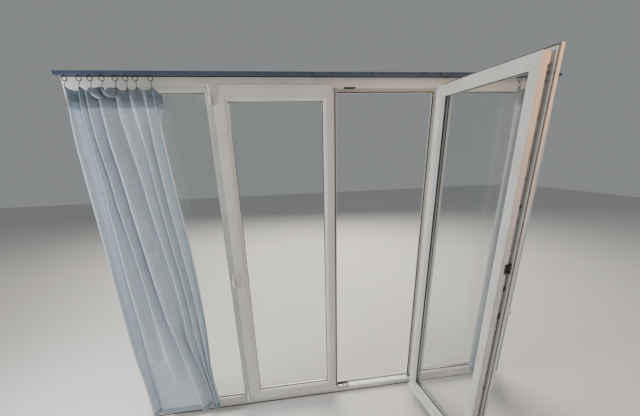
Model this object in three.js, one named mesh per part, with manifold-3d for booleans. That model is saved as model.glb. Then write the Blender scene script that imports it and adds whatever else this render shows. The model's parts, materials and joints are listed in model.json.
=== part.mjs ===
// Glazed front of a houseboat cabin: one white plastic frame with four lights. Two fixed side
// lights stand beside a pair of leaves that open inwards, the right one standing open. A curtain
// track runs along the top, with a gathered curtain drawn to each end.
// Millimetres. X runs to the right as seen from the cabin, Y outboard and Z up. The origin is
// the middle of the threshold's underside.
import * as THREE from 'three';
import { mergeVertices } from 'three/addons/utils/BufferGeometryUtils.js';
import Module from 'manifold-3d';

const wasm = await Module();
wasm.setup();

// the whole frame
const HALF_WIDTH = 1280;
const HEIGHT = 2050;
const INNER = -35; // the frame's face towards the cabin
const OUTER = 35;
const GAP = 0.3; // between touching pieces
const MITRE_GAP = 0.2;

// frame profile, measured inwards from its outer edge
const FACE = 44;
const LIP = 20; // outer glazing lip, beyond the face
const LIP_INSIDE = 18;
const LIP_EDGE = 4; // what stays square of a lip before its outside slopes back
const LIP_SLOPE = 13;
const MULLION = { doorLip: 583, doorRebate: 603, lightRebate: 632, lightLip: 652 };

// sash profile, measured inwards from the edge of its overlap
const SASH_INNER = -57;
const SASH_OUTER = 13;
const OVERLAP = 20;
const OVERLAP_BACK = -40;
const SASH_FACE = 52;
const SASH_SIGHT = 72;
const SASH_LIP_INSIDE = -4;
const SASH_SLOPE = 15;
const GROOVE = { from: -37.3, to: -20.7, depth: 3.3 };
const POCKET = { from: -24.3, to: -7.7, depth: 3, bottom: 900, top: 1120 };

// the two leaves, closed, from the edges of their overlaps
const LEAF_HALF = 611;
const LEAF_TOP = 2014;
const LEAF_BOTTOM = 38;
const LEAF_TRIM = 46; // the overlap's lower edge, cut back over the threshold
const MEETING = { passive: -2, active: 3 };
const HINGE = { x: 620, y: -62, radius: 7, plate: 3, height: 88 };
const HINGE_HEIGHTS = { bottom: 96, middle: 975, top: 1966 };
const OPEN_DEGREES = 96;
const DRIP_END = 572; // the drip rails stay between the mullions' lips

// glazing
const BEAD = 20;
const BEAD_DEPTH = 28.4;
const GLASS = { thick: 24, edge: 4 };

// threshold, from the cabin outwards
const THRESHOLD = { front: 34, back: 42, nose: 9, groove: 3 };

// lock side of the open leaf
const STRIP = { wide: 16, thick: 2.6 };
const CAM = { radius: 4.5, proud: 5, heights: [140, 520, 1450, 1900] };
const CATCH = { height: 1175, tall: 46, from: -39.5, to: -8, thick: 3.5, shoulder: 8 };
const ROSETTE = { wide: 30, tall: 68, thick: 11 };
const HANDLE = { x: 43, z: 938, neck: 34, shaft: 9, boss: 14, reach: 132, wide: 20, thick: 10, crown: 0.5 };

// curtain track on a cover strip over the head
const COVER = { top: 2072, front: -22 };
const TRACK = { from: -96, to: -74, bottom: 2046, top: 2062, end: 1274 };
const GLIDER = { stem: 4, ring: 11, wire: 1.2, drop: 13, hook: 3 };
const GLIDERS = {
  left: [-1237, -1177, -1132, -1082, -1026, -981, -939, -873],
  right: [1030, 1085, 1140, 1192, 1242],
};
const CURTAIN = { top: 2000, bottom: 52, back: -50, front: -126, thick: 22, steps: 10 };

// the crests of each curtain's folds: X at the heading and at the hem
const FOLDS = {
  left: [
    [-1254, -1260], [-1186, -1196], [-1148, -1112], [-1096, -1048], [-1020, -966], [-954, -890], [-846, -800],
  ],
  right: [[1018, 1006], [1092, 1086], [1150, 1148], [1206, 1210], [1254, 1258]],
};

const materials = {
  plastic: ['#e4e6e6', 0.35, 0],
  glass: ['#cfe0dd', 0.05, 0],
  cloth: ['#b9c6d2', 0.9, 0],
  steel: ['#8d8f90', 0.35, 0.9],
  seal: ['#3b3d40', 0.6, 0],
  bronze: ['#a88a5c', 0.35, 0.9],
  cap: ['#f0f1f1', 0.3, 0],
  track: ['#7f93a6', 0.4, 0],
};

function material(name) {
  const [color, roughness, metalness] = materials[name];
  const clear = name === 'glass' ? { transparent: true, opacity: 0.4 } : {};
  return new THREE.MeshStandardMaterial({ color, roughness, metalness, ...clear });
}

function part(name, finish, geometry) {
  const mesh = new THREE.Mesh(geometry, material(finish));
  mesh.name = name;
  return mesh;
}

// a closed outline through [x, y] points, with an optional corner radius as a third value
function outline(points) {
  const shape = new THREE.Shape();
  points.forEach(([x, y, radius = 0], i) => {
    const here = new THREE.Vector2(x, y);
    if (radius === 0) {
      if (i === 0) shape.moveTo(x, y);
      else shape.lineTo(x, y);
      return;
    }
    const before = new THREE.Vector2(...points[(i + points.length - 1) % points.length]);
    const after = new THREE.Vector2(...points[(i + 1) % points.length]);
    const start = before.sub(here).setLength(radius).add(here);
    const end = after.sub(here).setLength(radius).add(here);
    if (i === 0) shape.moveTo(start.x, start.y);
    else shape.lineTo(start.x, start.y);
    shape.quadraticCurveTo(x, y, end.x, end.y);
  });
  return shape;
}

function box(x0, x1, y0, y1, z0, z1) {
  const geometry = new THREE.BoxGeometry(x1 - x0, y1 - y0, z1 - z0);
  return geometry.translate((x0 + x1) / 2, (y0 + y1) / 2, (z0 + z1) / 2);
}

function solid(geometry) {
  const bare = geometry.index ? geometry.clone() : geometry;
  bare.deleteAttribute('normal');
  bare.deleteAttribute('uv');
  const merged = mergeVertices(bare, 1e-4);
  return new wasm.Manifold(new wasm.Mesh({
    numProp: 3,
    vertProperties: new Float32Array(merged.attributes.position.array),
    triVerts: new Uint32Array(merged.index.array),
  }));
}

function geometryOf(body) {
  const mesh = body.getMesh();
  const geometry = new THREE.BufferGeometry();
  geometry.setAttribute('position', new THREE.BufferAttribute(new Float32Array(mesh.vertProperties), 3));
  geometry.setIndex(Array.from(mesh.triVerts));
  return geometry;
}

function cut(geometry, ...tools) {
  return geometryOf(tools.reduce((body, tool) => body.subtract(solid(tool)), solid(geometry)));
}

function join(geometry, ...others) {
  return geometryOf(others.reduce((body, other) => body.add(solid(other)), solid(geometry)));
}

// A profile bar: the section's x runs inwards from the outer edge and its y outboard.
// Mitred ends follow the section's x at 45 degrees.
function bar(section, length, inwards, origin, mitred = true) {
  const geometry = new THREE.ExtrudeGeometry(section, { depth: length, bevelEnabled: false, curveSegments: 3 });
  const position = geometry.attributes.position;
  for (let i = 0; i < position.count; i += 1) {
    const trim = (mitred ? position.getX(i) : 0) + MITRE_GAP;
    position.setZ(i, position.getZ(i) < length / 2 ? trim : length - trim);
  }
  const outboard = new THREE.Vector3(0, 1, 0);
  const along = new THREE.Vector3().crossVectors(inwards, outboard);
  const matrix = new THREE.Matrix4().makeBasis(inwards, outboard, along);
  return geometry.applyMatrix4(matrix).translate(...origin);
}

const RIGHTWARDS = new THREE.Vector3(1, 0, 0);
const LEFTWARDS = new THREE.Vector3(-1, 0, 0);
const UPWARDS = new THREE.Vector3(0, 0, 1);
const DOWNWARDS = new THREE.Vector3(0, 0, -1);

const frameSection = outline([
  [0, INNER], [FACE, INNER, 4], [FACE, LIP_INSIDE], [FACE + LIP, LIP_INSIDE, 2],
  [FACE + LIP, LIP_INSIDE + LIP_EDGE], [FACE + LIP - LIP_SLOPE, OUTER], [0, OUTER],
]);

const sashSection = outline([
  [0, SASH_INNER, 4], [SASH_FACE, SASH_INNER], [SASH_FACE, SASH_LIP_INSIDE],
  [SASH_SIGHT, SASH_LIP_INSIDE, 2], [SASH_SIGHT, SASH_LIP_INSIDE + LIP_EDGE],
  [SASH_SIGHT - SASH_SLOPE, SASH_OUTER], [OVERLAP, SASH_OUTER],
  [OVERLAP, GROOVE.to], [OVERLAP + GROOVE.depth, GROOVE.to],
  [OVERLAP + GROOVE.depth, GROOVE.from], [OVERLAP, GROOVE.from],
  [OVERLAP, OVERLAP_BACK], [0, OVERLAP_BACK],
]);

const meetingSection = outline([
  [OVERLAP, SASH_INNER, 3], [SASH_FACE, SASH_INNER], [SASH_FACE, SASH_LIP_INSIDE],
  [SASH_SIGHT, SASH_LIP_INSIDE, 2], [SASH_SIGHT, SASH_LIP_INSIDE + LIP_EDGE],
  [SASH_SIGHT - SASH_SLOPE, SASH_OUTER], [OVERLAP, SASH_OUTER],
]);

const REACH = 3000; // past every edge, for cutting tools

// What a neighbour gives up to a lip that ends at an edge, as [across, outboard] points: the lip's
// outline with a gap, out to a far side. Sign is the direction in which the lip narrows.
function lipClearance(edge, sign, far) {
  const reach = edge - sign * GAP;
  return [
    [far, LIP_INSIDE - GAP], [reach, LIP_INSIDE - GAP], [reach, LIP_INSIDE + LIP_EDGE],
    [reach + sign * LIP_SLOPE, OUTER], [reach + sign * LIP_SLOPE, REACH], [far, REACH],
  ];
}

// an upright prism over [x, y] points given for the right half, mirrored when side is -1
function upright(side, points) {
  const shape = outline(points.map(([x, y]) => [side * x, y]));
  const prism = new THREE.ExtrudeGeometry(shape, { depth: 2 * REACH, bevelEnabled: false });
  return prism.translate(0, 0, -REACH);
}

function frameParts() {
  const mullionFoot = (side) => [
    mirrorBox(side, MULLION.doorRebate - GAP, MULLION.lightRebate + GAP, -REACH, REACH, -REACH, REACH),
    upright(side, lipClearance(MULLION.lightLip, -1, 0)),
    mirrorBox(side, 0, MULLION.doorRebate, -REACH, REACH, -REACH, REACH),
  ];
  const sill = (side) => {
    const whole = bar(frameSection, 2 * HALF_WIDTH, UPWARDS, [HALF_WIDTH, 0, 0]);
    return cut(whole, ...mullionFoot(side), mirrorBox(-side, -1, REACH, -REACH, REACH, -REACH, REACH));
  };
  return [
    part('frame_head', 'plastic', bar(frameSection, 2 * HALF_WIDTH, DOWNWARDS, [-HALF_WIDTH, 0, HEIGHT])),
    part('frame_jamb_left', 'plastic', bar(frameSection, HEIGHT, RIGHTWARDS, [-HALF_WIDTH, 0, 0])),
    part('frame_jamb_right', 'plastic', bar(frameSection, HEIGHT, LEFTWARDS, [HALF_WIDTH, 0, HEIGHT])),
    part('frame_sill_left', 'plastic', sill(-1)),
    part('frame_sill_right', 'plastic', sill(1)),
    part('mullion_left', 'plastic', mullion(-1)),
    part('mullion_right', 'plastic', mullion(1)),
    part('threshold', 'plastic', threshold()),
  ];
}

// a box given for the right half, mirrored when side is -1
function mirrorBox(side, x0, x1, y0, y1, z0, z1) {
  return side > 0 ? box(x0, x1, y0, y1, z0, z1) : box(-x1, -x0, y0, y1, z0, z1);
}

function mullion(side) {
  const { doorLip, doorRebate, lightRebate, lightLip } = MULLION;
  const section = outline([
    [doorRebate, INNER, 3], [lightRebate, INNER, 3], [lightRebate, LIP_INSIDE], [lightLip, LIP_INSIDE, 2],
    [lightLip, LIP_INSIDE + LIP_EDGE], [lightLip - LIP_SLOPE, OUTER], [doorLip + LIP_SLOPE, OUTER],
    [doorLip, LIP_INSIDE + LIP_EDGE], [doorLip, LIP_INSIDE, 2], [doorRebate, LIP_INSIDE],
  ].map(([x, y, radius]) => [side * x, y, radius]));
  const depth = HEIGHT - FACE - GAP;
  const post = new THREE.ExtrudeGeometry(section, { depth, bevelEnabled: false, curveSegments: 3 });
  const overLip = outline(lipClearance(FACE + LIP, -1, -REACH));
  return cut(post, bar(overLip, 2 * REACH, DOWNWARDS, [-REACH, 0, HEIGHT], false));
}

function threshold() {
  const { front, back, nose, groove } = THRESHOLD;
  const half = MULLION.doorRebate - GAP;
  const section = outline([
    [0, INNER], [front, INNER, nose], [front, -14], [front - groove, -12], [front - groove, -8],
    [front, -6], [front, LIP_INSIDE - 4], [back, LIP_INSIDE + 2, 2], [back, OUTER, 4], [0, OUTER],
  ]);
  const whole = bar(section, 2 * half, UPWARDS, [half, 0, 0], false);
  const corner = (side) => upright(side, lipClearance(MULLION.doorLip, 1, REACH));
  return cut(whole, corner(-1), corner(1));
}

// a bead ring: a rectangular frame of beads around one light, between the rebates
function beadRing([x0, x1, z0, z1], front) {
  const ring = box(x0 + GAP, x1 - GAP, front, front + BEAD_DEPTH, z0 + GAP, z1 - GAP);
  return cut(ring, box(x0 + BEAD, x1 - BEAD, front - 1, front + BEAD_DEPTH + 1, z0 + BEAD, z1 - BEAD));
}

function glassPane([x0, x1, z0, z1], back) {
  const { thick, edge } = GLASS;
  return box(x0 + edge, x1 - edge, back - thick, back, z0 + edge, z1 - edge);
}

const lightRebates = {
  left: [-HALF_WIDTH + FACE, -MULLION.lightRebate, FACE, HEIGHT - FACE],
  right: [MULLION.lightRebate, HALF_WIDTH - FACE, FACE, HEIGHT - FACE],
};

function sideLights() {
  return Object.entries(lightRebates).flatMap(([side, rebate]) => [
    part(`side_light_beads_${side}`, 'plastic', beadRing(rebate, INNER)),
    part(`side_light_glass_${side}`, 'glass', glassPane(rebate, LIP_INSIDE - GAP)),
  ]);
}

// four mitred sash members around a leaf, given by the edges of its overlap
function sashBars([x0, x1], leftSection, rightSection, trims) {
  const width = x1 - x0;
  const height = LEAF_TOP - LEAF_BOTTOM;
  const foot = box(-REACH, REACH, -REACH, REACH, -REACH, LEAF_TRIM);
  return {
    left: cut(bar(leftSection, height, RIGHTWARDS, [x0, 0, LEAF_BOTTOM]), foot),
    right: cut(bar(rightSection, height, LEFTWARDS, [x1, 0, LEAF_TOP]), foot),
    top: cut(bar(sashSection, width, DOWNWARDS, [x0, 0, LEAF_TOP]), ...trims),
    bottom: cut(bar(sashSection, width, UPWARDS, [x1, 0, LEAF_BOTTOM]), foot, ...trims),
  };
}

function leafGlazing(name, [x0, x1]) {
  const rebate = [x0 + SASH_FACE, x1 - SASH_FACE, LEAF_BOTTOM + SASH_FACE, LEAF_TOP - SASH_FACE];
  return [
    part(`${name}_beads`, 'plastic', beadRing(rebate, SASH_INNER)),
    part(`${name}_glass`, 'glass', glassPane(rebate, SASH_LIP_INSIDE - GAP)),
  ];
}

// a drip rail along the foot of a leaf, outside
function dripRail(x0, x1) {
  const section = outline([
    [0, 0], [26, 0], [26, 4], [8, 22], [0, 22],
  ].map(([out, up]) => [up + LEAF_BOTTOM + OVERLAP + 4, SASH_OUTER + GAP + out, 0]));
  return bar(section, x1 - x0, UPWARDS, [x1, 0, 0], false);
}

function knuckle(side, z0, z1) {
  const { x, y, radius } = HINGE;
  const geometry = new THREE.CylinderGeometry(radius, radius, z1 - z0, 20);
  return geometry.rotateX(Math.PI / 2).translate(side * x, y, (z0 + z1) / 2);
}

// the leaf's half of a hinge: the upper knuckle on a wing that lies on the sash's face
function leafHinge(side, z) {
  const { x, plate, height } = HINGE;
  const top = z + height / 2;
  const wing = mirrorBox(side, 588, x - 4, SASH_INNER - GAP - plate, SASH_INNER - GAP, z + 2, top);
  return join(knuckle(side, z + 2, top), wing);
}

// the frame's half: the lower knuckle on a block that stands on the frame's face
function frameHinge(side, z) {
  const { x, y, height } = HINGE;
  const bottom = z - height / 2;
  const block = mirrorBox(side, x + 2, x + 12, y, INNER - GAP, bottom, z);
  const foot = mirrorBox(side, x - 2, x + 22, INNER - GAP - 3, INNER - GAP, bottom, z);
  return join(knuckle(side, bottom, z), block, foot);
}

function hinges(side, name, build, owner) {
  return Object.entries(HINGE_HEIGHTS).map(([place, z]) => (
    part(`${owner}_hinge_${place}_${name}`, 'cap', build(side, z))
  ));
}

function passiveLeaf() {
  const edges = [-LEAF_HALF, MEETING.passive + OVERLAP];
  const pastMeeting = box(MEETING.passive, REACH, -REACH, REACH, -REACH, REACH);
  const bars = sashBars(edges, sashSection, meetingSection, [pastMeeting]);
  const sashFoot = LEAF_BOTTOM + OVERLAP;
  const group = new THREE.Group();
  group.add(
    part('left_leaf_hinge_stile', 'plastic', bars.left),
    part('left_leaf_meeting_stile', 'plastic', bars.right),
    part('left_leaf_top_rail', 'plastic', bars.top),
    part('left_leaf_bottom_rail', 'plastic', bars.bottom),
    ...leafGlazing('left_leaf', edges),
    part('left_leaf_overlap_profile', 'plastic', overlapProfile()),
    part('left_leaf_edge_lever', 'steel', edgeLever()),
    part('left_leaf_drip_rail', 'plastic', dripRail(-DRIP_END, MEETING.passive - 6)),
    ...hinges(-1, 'left', leafHinge, 'left_leaf'),
  );
  return group;

  // the profile that covers the joint between the leaves, with its lever pocket
  function overlapProfile() {
    const x0 = MEETING.passive + GAP;
    const x1 = MEETING.active + OVERLAP - 5;
    const whole = box(x0, x1, INNER, SASH_OUTER, sashFoot, LEAF_TOP - OVERLAP);
    return cut(whole, box(x1 - POCKET.depth, x1 + 1, POCKET.from, POCKET.to, POCKET.bottom, POCKET.top));
  }

  function edgeLever() {
    const x1 = MEETING.active + OVERLAP - 5;
    return box(x1 - POCKET.depth + GAP, x1, POCKET.from + GAP, POCKET.to - GAP, POCKET.bottom + 5, POCKET.top - 5);
  }
}

function activeLeaf() {
  const edges = [MEETING.active, LEAF_HALF];
  const bars = sashBars(edges, sashSection, sashSection, []);
  const closed = new THREE.Group();
  closed.add(
    part('right_leaf_lock_stile', 'plastic', bars.left),
    part('right_leaf_hinge_stile', 'plastic', bars.right),
    part('right_leaf_top_rail', 'plastic', bars.top),
    part('right_leaf_bottom_rail', 'plastic', bars.bottom),
    ...leafGlazing('right_leaf', edges),
    part('right_leaf_lock_strip', 'bronze', lockStrip()),
    part('right_leaf_handle_rosette', 'cap', rosette()),
    part('right_leaf_handle', 'cap', handle()),
    part('right_leaf_drip_rail', 'plastic', dripRail(edges[0] + OVERLAP + 6, DRIP_END)),
    ...hinges(1, 'right', leafHinge, 'right_leaf'),
  );
  closed.position.set(-HINGE.x, -HINGE.y, 0);
  const open = new THREE.Group();
  open.position.set(HINGE.x, HINGE.y, 0);
  open.rotation.z = THREE.MathUtils.degToRad(OPEN_DEGREES);
  open.add(closed);
  return open;

  // the strip in the edge groove, with its locking cams and a catch across the sash's edge
  function lockStrip() {
    const middle = (GROOVE.from + GROOVE.to) / 2;
    const face = edges[0] + OVERLAP + GROOVE.depth - GAP;
    const z0 = LEAF_BOTTOM + 60;
    const z1 = LEAF_TOP - 60;
    const strip = box(face - STRIP.thick, face, middle - STRIP.wide / 2, middle + STRIP.wide / 2, z0, z1);
    const edge = edges[0] + OVERLAP - GAP;
    const low = CATCH.height - CATCH.tall / 2;
    const plate = box(edge - CATCH.thick, edge, CATCH.from, CATCH.to, low, low + CATCH.tall);
    const root = box(
      edge - 1, face - 1, middle - CATCH.shoulder / 2, middle + CATCH.shoulder / 2,
      low + CATCH.shoulder, low + CATCH.tall - CATCH.shoulder,
    );
    const cams = CAM.heights.map((z) => {
      const cam = new THREE.CylinderGeometry(CAM.radius, CAM.radius, CAM.proud + 1, 16);
      return cam.rotateZ(Math.PI / 2).translate(face - STRIP.thick - CAM.proud / 2 + 0.5, middle, z);
    });
    return join(strip, root, plate, ...cams);
  }

  function rosette() {
    const { x, z } = HANDLE;
    const { wide, tall, thick } = ROSETTE;
    const back = SASH_INNER - GAP;
    return box(x - wide / 2, x + wide / 2, back - thick, back, z - tall / 2, z + tall / 2);
  }

  // a lever on a round neck, turned level towards the hinges
  function handle() {
    const { x, z, neck, shaft, boss, reach, wide, thick, crown } = HANDLE;
    const back = SASH_INNER - GAP - ROSETTE.thick - GAP;
    const tip = back - neck;
    const stem = new THREE.CylinderGeometry(shaft, shaft, neck, 20).translate(x, back - neck / 2, z);
    const root = new THREE.CylinderGeometry(boss, boss, thick + 2 * crown, 24).translate(x, tip - thick / 2, z);
    const lever = box(x, x + reach, tip - thick, tip, z - wide / 2, z + wide / 2);
    return join(stem, root, lever);
  }
}

// keeps on the threshold and the head that catch the leaf's fittings
function keeps() {
  const rebate = HEIGHT - FACE - GAP;
  const { front } = THRESHOLD;
  return [
    part('threshold_keep', 'steel', box(12, 104, -4, 13, front + GAP, front + GAP + 5)),
    part('head_keep_meeting', 'steel', box(62, 124, -34, -16, rebate - 5, rebate)),
    part('head_keep_hinge_side', 'cap', box(482, 512, -34, -16, rebate - 4, rebate)),
  ];
}

function curtainTrack() {
  const { from, to, bottom, top, end } = TRACK;
  const bracket = (x) => box(x - 10, x + 10, to + GAP, COVER.front + 5, HEIGHT + 4, TRACK.top + 4);
  const board = box(-HALF_WIDTH, HALF_WIDTH, COVER.front, OUTER, HEIGHT + GAP, COVER.top);
  const brackets = [-1180, -640, -90, 90, 640, 1180].map(bracket);
  const rail = (name, side) => {
    const length = mirrorBox(side, 1, end, from, to, bottom, top);
    return part(`curtain_track_${name}`, 'track', join(length, ...GLIDERS[name].flatMap(glider)));
  };
  return [
    part('head_cover_strip', 'seal', join(board, ...brackets)),
    rail('left', -1),
    rail('right', 1),
  ];

  // a stem under the track, an open ring that faces the cabin and a hook down to the heading
  function glider(x) {
    const { stem, ring, wire, drop, hook } = GLIDER;
    const y = (from + to) / 2;
    const z = bottom - drop;
    return [
      box(x - stem / 2, x + stem / 2, y - stem / 2, y + stem / 2, z + ring - wire, bottom + 1),
      new THREE.TorusGeometry(ring, wire, 6, 16).rotateX(Math.PI / 2).translate(x, y, z),
      box(x - hook / 2, x + hook / 2, y - hook / 2, y + hook / 2, CURTAIN.top + GAP, z - ring),
    ];
  }
}

// X at a place along the folds, counted in crests, at the heading (end 0) or the hem (end 1)
function foldX(folds, along, end) {
  const crest = Math.min(Math.floor(along), folds.length - 2);
  return THREE.MathUtils.lerp(folds[crest][end], folds[crest + 1][end], along - crest);
}

// a gathered curtain: a wavy slab whose crests follow the table of folds
function curtain(name) {
  const { top, bottom, back, front, thick, steps } = CURTAIN;
  const folds = FOLDS[name];
  const depth = (back - front - thick) / 2;
  const wave = Array.from({ length: (folds.length - 1) * steps + 1 }, (_, i) => (
    [i / steps, front + depth * (1 - Math.cos((i / steps) * 2 * Math.PI))]
  ));
  const behind = wave.map(([along, y]) => [along, y + thick]).reverse();
  const section = outline([...wave, ...behind]);
  const slab = new THREE.ExtrudeGeometry(section, { depth: top - bottom, bevelEnabled: false });
  const position = slab.attributes.position;
  for (let i = 0; i < position.count; i += 1) {
    position.setX(i, foldX(folds, position.getX(i), position.getZ(i) > 0 ? 0 : 1));
  }
  return slab.translate(0, 0, bottom);
}

const front = new THREE.Group();
front.add(
  ...frameParts(),
  ...sideLights(),
  ...keeps(),
  ...hinges(-1, 'left', frameHinge, 'frame'),
  ...hinges(1, 'right', frameHinge, 'frame'),
  passiveLeaf(),
  activeLeaf(),
  ...curtainTrack(),
  part('curtain_left', 'cloth', curtain('left')),
  part('curtain_right', 'cloth', curtain('right')),
);

export default front;
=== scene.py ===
"""Looks for the glazed front of a houseboat cabin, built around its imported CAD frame.

Sizes are in millimetres up to the moment that a piece is made. X runs to the right as seen from the cabin,
Y outboard and Z up.
"""
import json
import logging
import math
from collections.abc import Callable, Iterable, Sequence
from dataclasses import dataclass
from enum import Enum

import bpy
import numpy as np
from mathutils import Matrix, Vector

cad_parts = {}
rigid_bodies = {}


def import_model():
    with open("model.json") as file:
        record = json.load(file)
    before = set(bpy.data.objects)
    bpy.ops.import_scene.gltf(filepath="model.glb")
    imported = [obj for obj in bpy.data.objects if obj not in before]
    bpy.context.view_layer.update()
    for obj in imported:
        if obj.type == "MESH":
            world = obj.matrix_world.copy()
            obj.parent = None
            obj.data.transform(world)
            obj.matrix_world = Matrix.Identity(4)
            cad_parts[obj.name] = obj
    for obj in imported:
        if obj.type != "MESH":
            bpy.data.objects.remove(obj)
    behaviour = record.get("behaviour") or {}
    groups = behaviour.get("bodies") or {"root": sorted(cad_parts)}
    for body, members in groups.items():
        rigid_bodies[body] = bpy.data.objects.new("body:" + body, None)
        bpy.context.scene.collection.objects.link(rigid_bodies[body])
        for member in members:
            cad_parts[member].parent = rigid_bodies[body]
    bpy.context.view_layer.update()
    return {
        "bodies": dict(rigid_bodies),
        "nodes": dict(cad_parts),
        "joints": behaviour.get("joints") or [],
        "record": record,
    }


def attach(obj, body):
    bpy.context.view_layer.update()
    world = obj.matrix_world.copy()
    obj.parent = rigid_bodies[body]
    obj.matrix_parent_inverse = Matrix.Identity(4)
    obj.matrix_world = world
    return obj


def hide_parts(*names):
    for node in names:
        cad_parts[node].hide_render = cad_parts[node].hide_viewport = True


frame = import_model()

log = logging.getLogger("glazed_front")

MM = 0.001
OUTBOARD = Vector((0, 1, 0))
RIGHT, LEFT = Vector((1, 0, 0)), Vector((-1, 0, 0))
UP, DOWN = Vector((0, 0, 1)), Vector((0, 0, -1))

Corner = tuple[float, ...]
Pair = tuple[float, float]
Outline = list[Pair]
Piece = bpy.types.Object
Tree = bpy.types.NodeTree
# a node's own values, and what feeds its inputs
Settings = dict[str | int, object]
Feeds = dict[str | int, bpy.types.Node | bpy.types.NodeSocket]


class Body(Enum):
    """The three bodies that pieces ride on."""

    FRAME = "fixed_frame"
    LEFT_LEAF = "left_leaf"
    RIGHT_LEAF = "right_leaf"


class Slot(Enum):
    """The record's material slots."""

    PLASTIC = "white_plastic"
    GLASS = "clear_glass"
    CLOTH = "curtain_cloth"
    TRACK = "painted_track"
    SEAL = "dark_seal"
    STEEL = "keep_steel"
    BRONZE = "lock_bronze"
    HANDLE = "handle_white"
    HINGE = "hinge_cap"


# materials


def linear(code: str) -> tuple[float, float, float, float]:
    """Turn an sRGB hex colour into linear light.

    Args:
        code: The colour as #rrggbb.

    Returns:
        Red, green, blue and a full alpha.
    """
    parts = [int(code[i : i + 2], 16) / 255 for i in (1, 3, 5)]
    light = [c / 12.92 if c <= 0.04045 else ((c + 0.055) / 1.055) ** 2.4 for c in parts]
    return (*light, 1.0)


def add_node(tree: Tree, kind: str, settings: Settings | None = None,
             links: Feeds | None = None) -> bpy.types.Node:
    """Add a node with its settings and links.

    Args:
        tree: The material's node tree.
        kind: The node's type, without the ShaderNode prefix.
        settings: Values by socket name or number, or by the node's own property name. A ramp's stops are
            pairs of place and sRGB colour.
        links: Output sockets by the input's name or number. A node stands for its first output.

    Returns:
        The new node.
    """
    node = tree.nodes.new("ShaderNode" + kind)
    for key, value in (settings or {}).items():
        if key == "stops":
            elements = node.color_ramp.elements
            while len(elements) < len(value):
                elements.new(0.5)
            for element, (place, colour) in zip(elements, value):
                element.position, element.color = place, linear(colour)
        elif isinstance(key, str) and hasattr(node, key):
            setattr(node, key, value)
        else:
            node.inputs[key].default_value = value
    for key, source in (links or {}).items():
        tree.links.new(source.outputs[0] if isinstance(source, bpy.types.Node) else source, node.inputs[key])
    return node


def span(low: float, high: float, start: float = 0.0, end: float = 1.0) -> Settings:
    """Settings that map a pattern's range, from its start to its end, to a low and a high value."""
    return {"From Min": start, "From Max": end, "To Min": low, "To Max": high}


@dataclass(frozen=True)
class Finish:
    """One real material: what it is made of and how its surface was made."""

    name: str
    colour: str
    roughness: float = 0.4
    metallic: float = 0.0
    ior: float = 1.5

    def build(self) -> bpy.types.Material:
        """Return the Blender material, made on its first use.

        Returns:
            The material.
        """
        made = bpy.data.materials.get(self.name)
        if made is None:
            made = bpy.data.materials.new(self.name)
            made.use_nodes = True
            made.diffuse_color = linear(self.colour)
            tree = made.node_tree
            tree.nodes.clear()
            shader = add_node(tree, "BsdfPrincipled", self.surface(), self.dress(tree))
            add_node(tree, "OutputMaterial", links={"Surface": shader})
        return made

    def surface(self) -> Settings:
        """The shader's own values."""
        return {"Base Color": linear(self.colour), "Roughness": self.roughness, "Metallic": self.metallic,
                "IOR": self.ior}

    def dress(self, tree: Tree) -> Feeds:
        """Make the patterns that feed the shader: here a fine speckle in its relief alone.

        Args:
            tree: The material's node tree.

        Returns:
            What feeds the shader's inputs.
        """
        place = add_node(tree, "TexCoord").outputs["Object"]
        speckle = add_node(tree, "TexNoise", {"Scale": 60.0, "Detail": 5.0}, {"Vector": place})
        return {"Normal": add_node(tree, "Bump", {"Distance": 0.0002}, {"Height": speckle})}


@dataclass(frozen=True)
class ExtrudedPvc(Finish):
    """White PVC profile, extruded: satin, a little yellowed in clouds, with grime where feet pass."""

    name: str = "extruded_white_pvc"
    colour: str = "#dedcd6"
    ior: float = 1.53

    def dress(self, tree: Tree) -> Feeds:
        """Mottle the colour softly, soil the foot and give the skin its orange peel.

        Args:
            tree: The material's node tree.

        Returns:
            What feeds the shader's inputs.
        """
        place = add_node(tree, "TexCoord").outputs["Object"]
        # clouds 200 mm across, from wiping and sun
        clouds = add_node(tree, "TexNoise", {"Scale": 5.0, "Detail": 4.0, "Roughness": 0.6}, {"Vector": place})
        stops = (0.3, "#d6d3cb"), (0.5, self.colour), (0.72, "#e6e4df")
        tint = add_node(tree, "ValToRGB", {"stops": stops}, {"Fac": clouds})
        # scuffs and dust that fade out 160 mm above the floor
        height = add_node(tree, "SeparateXYZ", links={"Vector": place}).outputs["Z"]
        low = add_node(tree, "MapRange", span(1.0, 0.0, 0.0, 0.16), {"Value": height})
        dirt = add_node(tree, "TexNoise", {"Scale": 46.0, "Detail": 7.0, "Roughness": 0.68}, {"Vector": place})
        patches = add_node(tree, "MapRange", span(0.0, 0.4, 0.46, 0.74), {"Value": dirt})
        grime = add_node(tree, "Math", {"operation": "MULTIPLY"}, {0: low, 1: patches})
        soiled = add_node(tree, "Mix", {"data_type": "RGBA", 7: linear("#8f877a")}, {0: grime, 6: tint})
        # orange peel 2 mm across, as the die leaves it
        peel = add_node(tree, "TexNoise", {"Scale": 420.0, "Detail": 2.0}, {"Vector": place})
        return {
            "Base Color": soiled.outputs[2],
            "Roughness": add_node(tree, "MapRange", span(0.26, 0.44), {"Value": clouds}),
            "Normal": add_node(tree, "Bump", {"Distance": 0.00003}, {"Height": peel}),
        }


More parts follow.
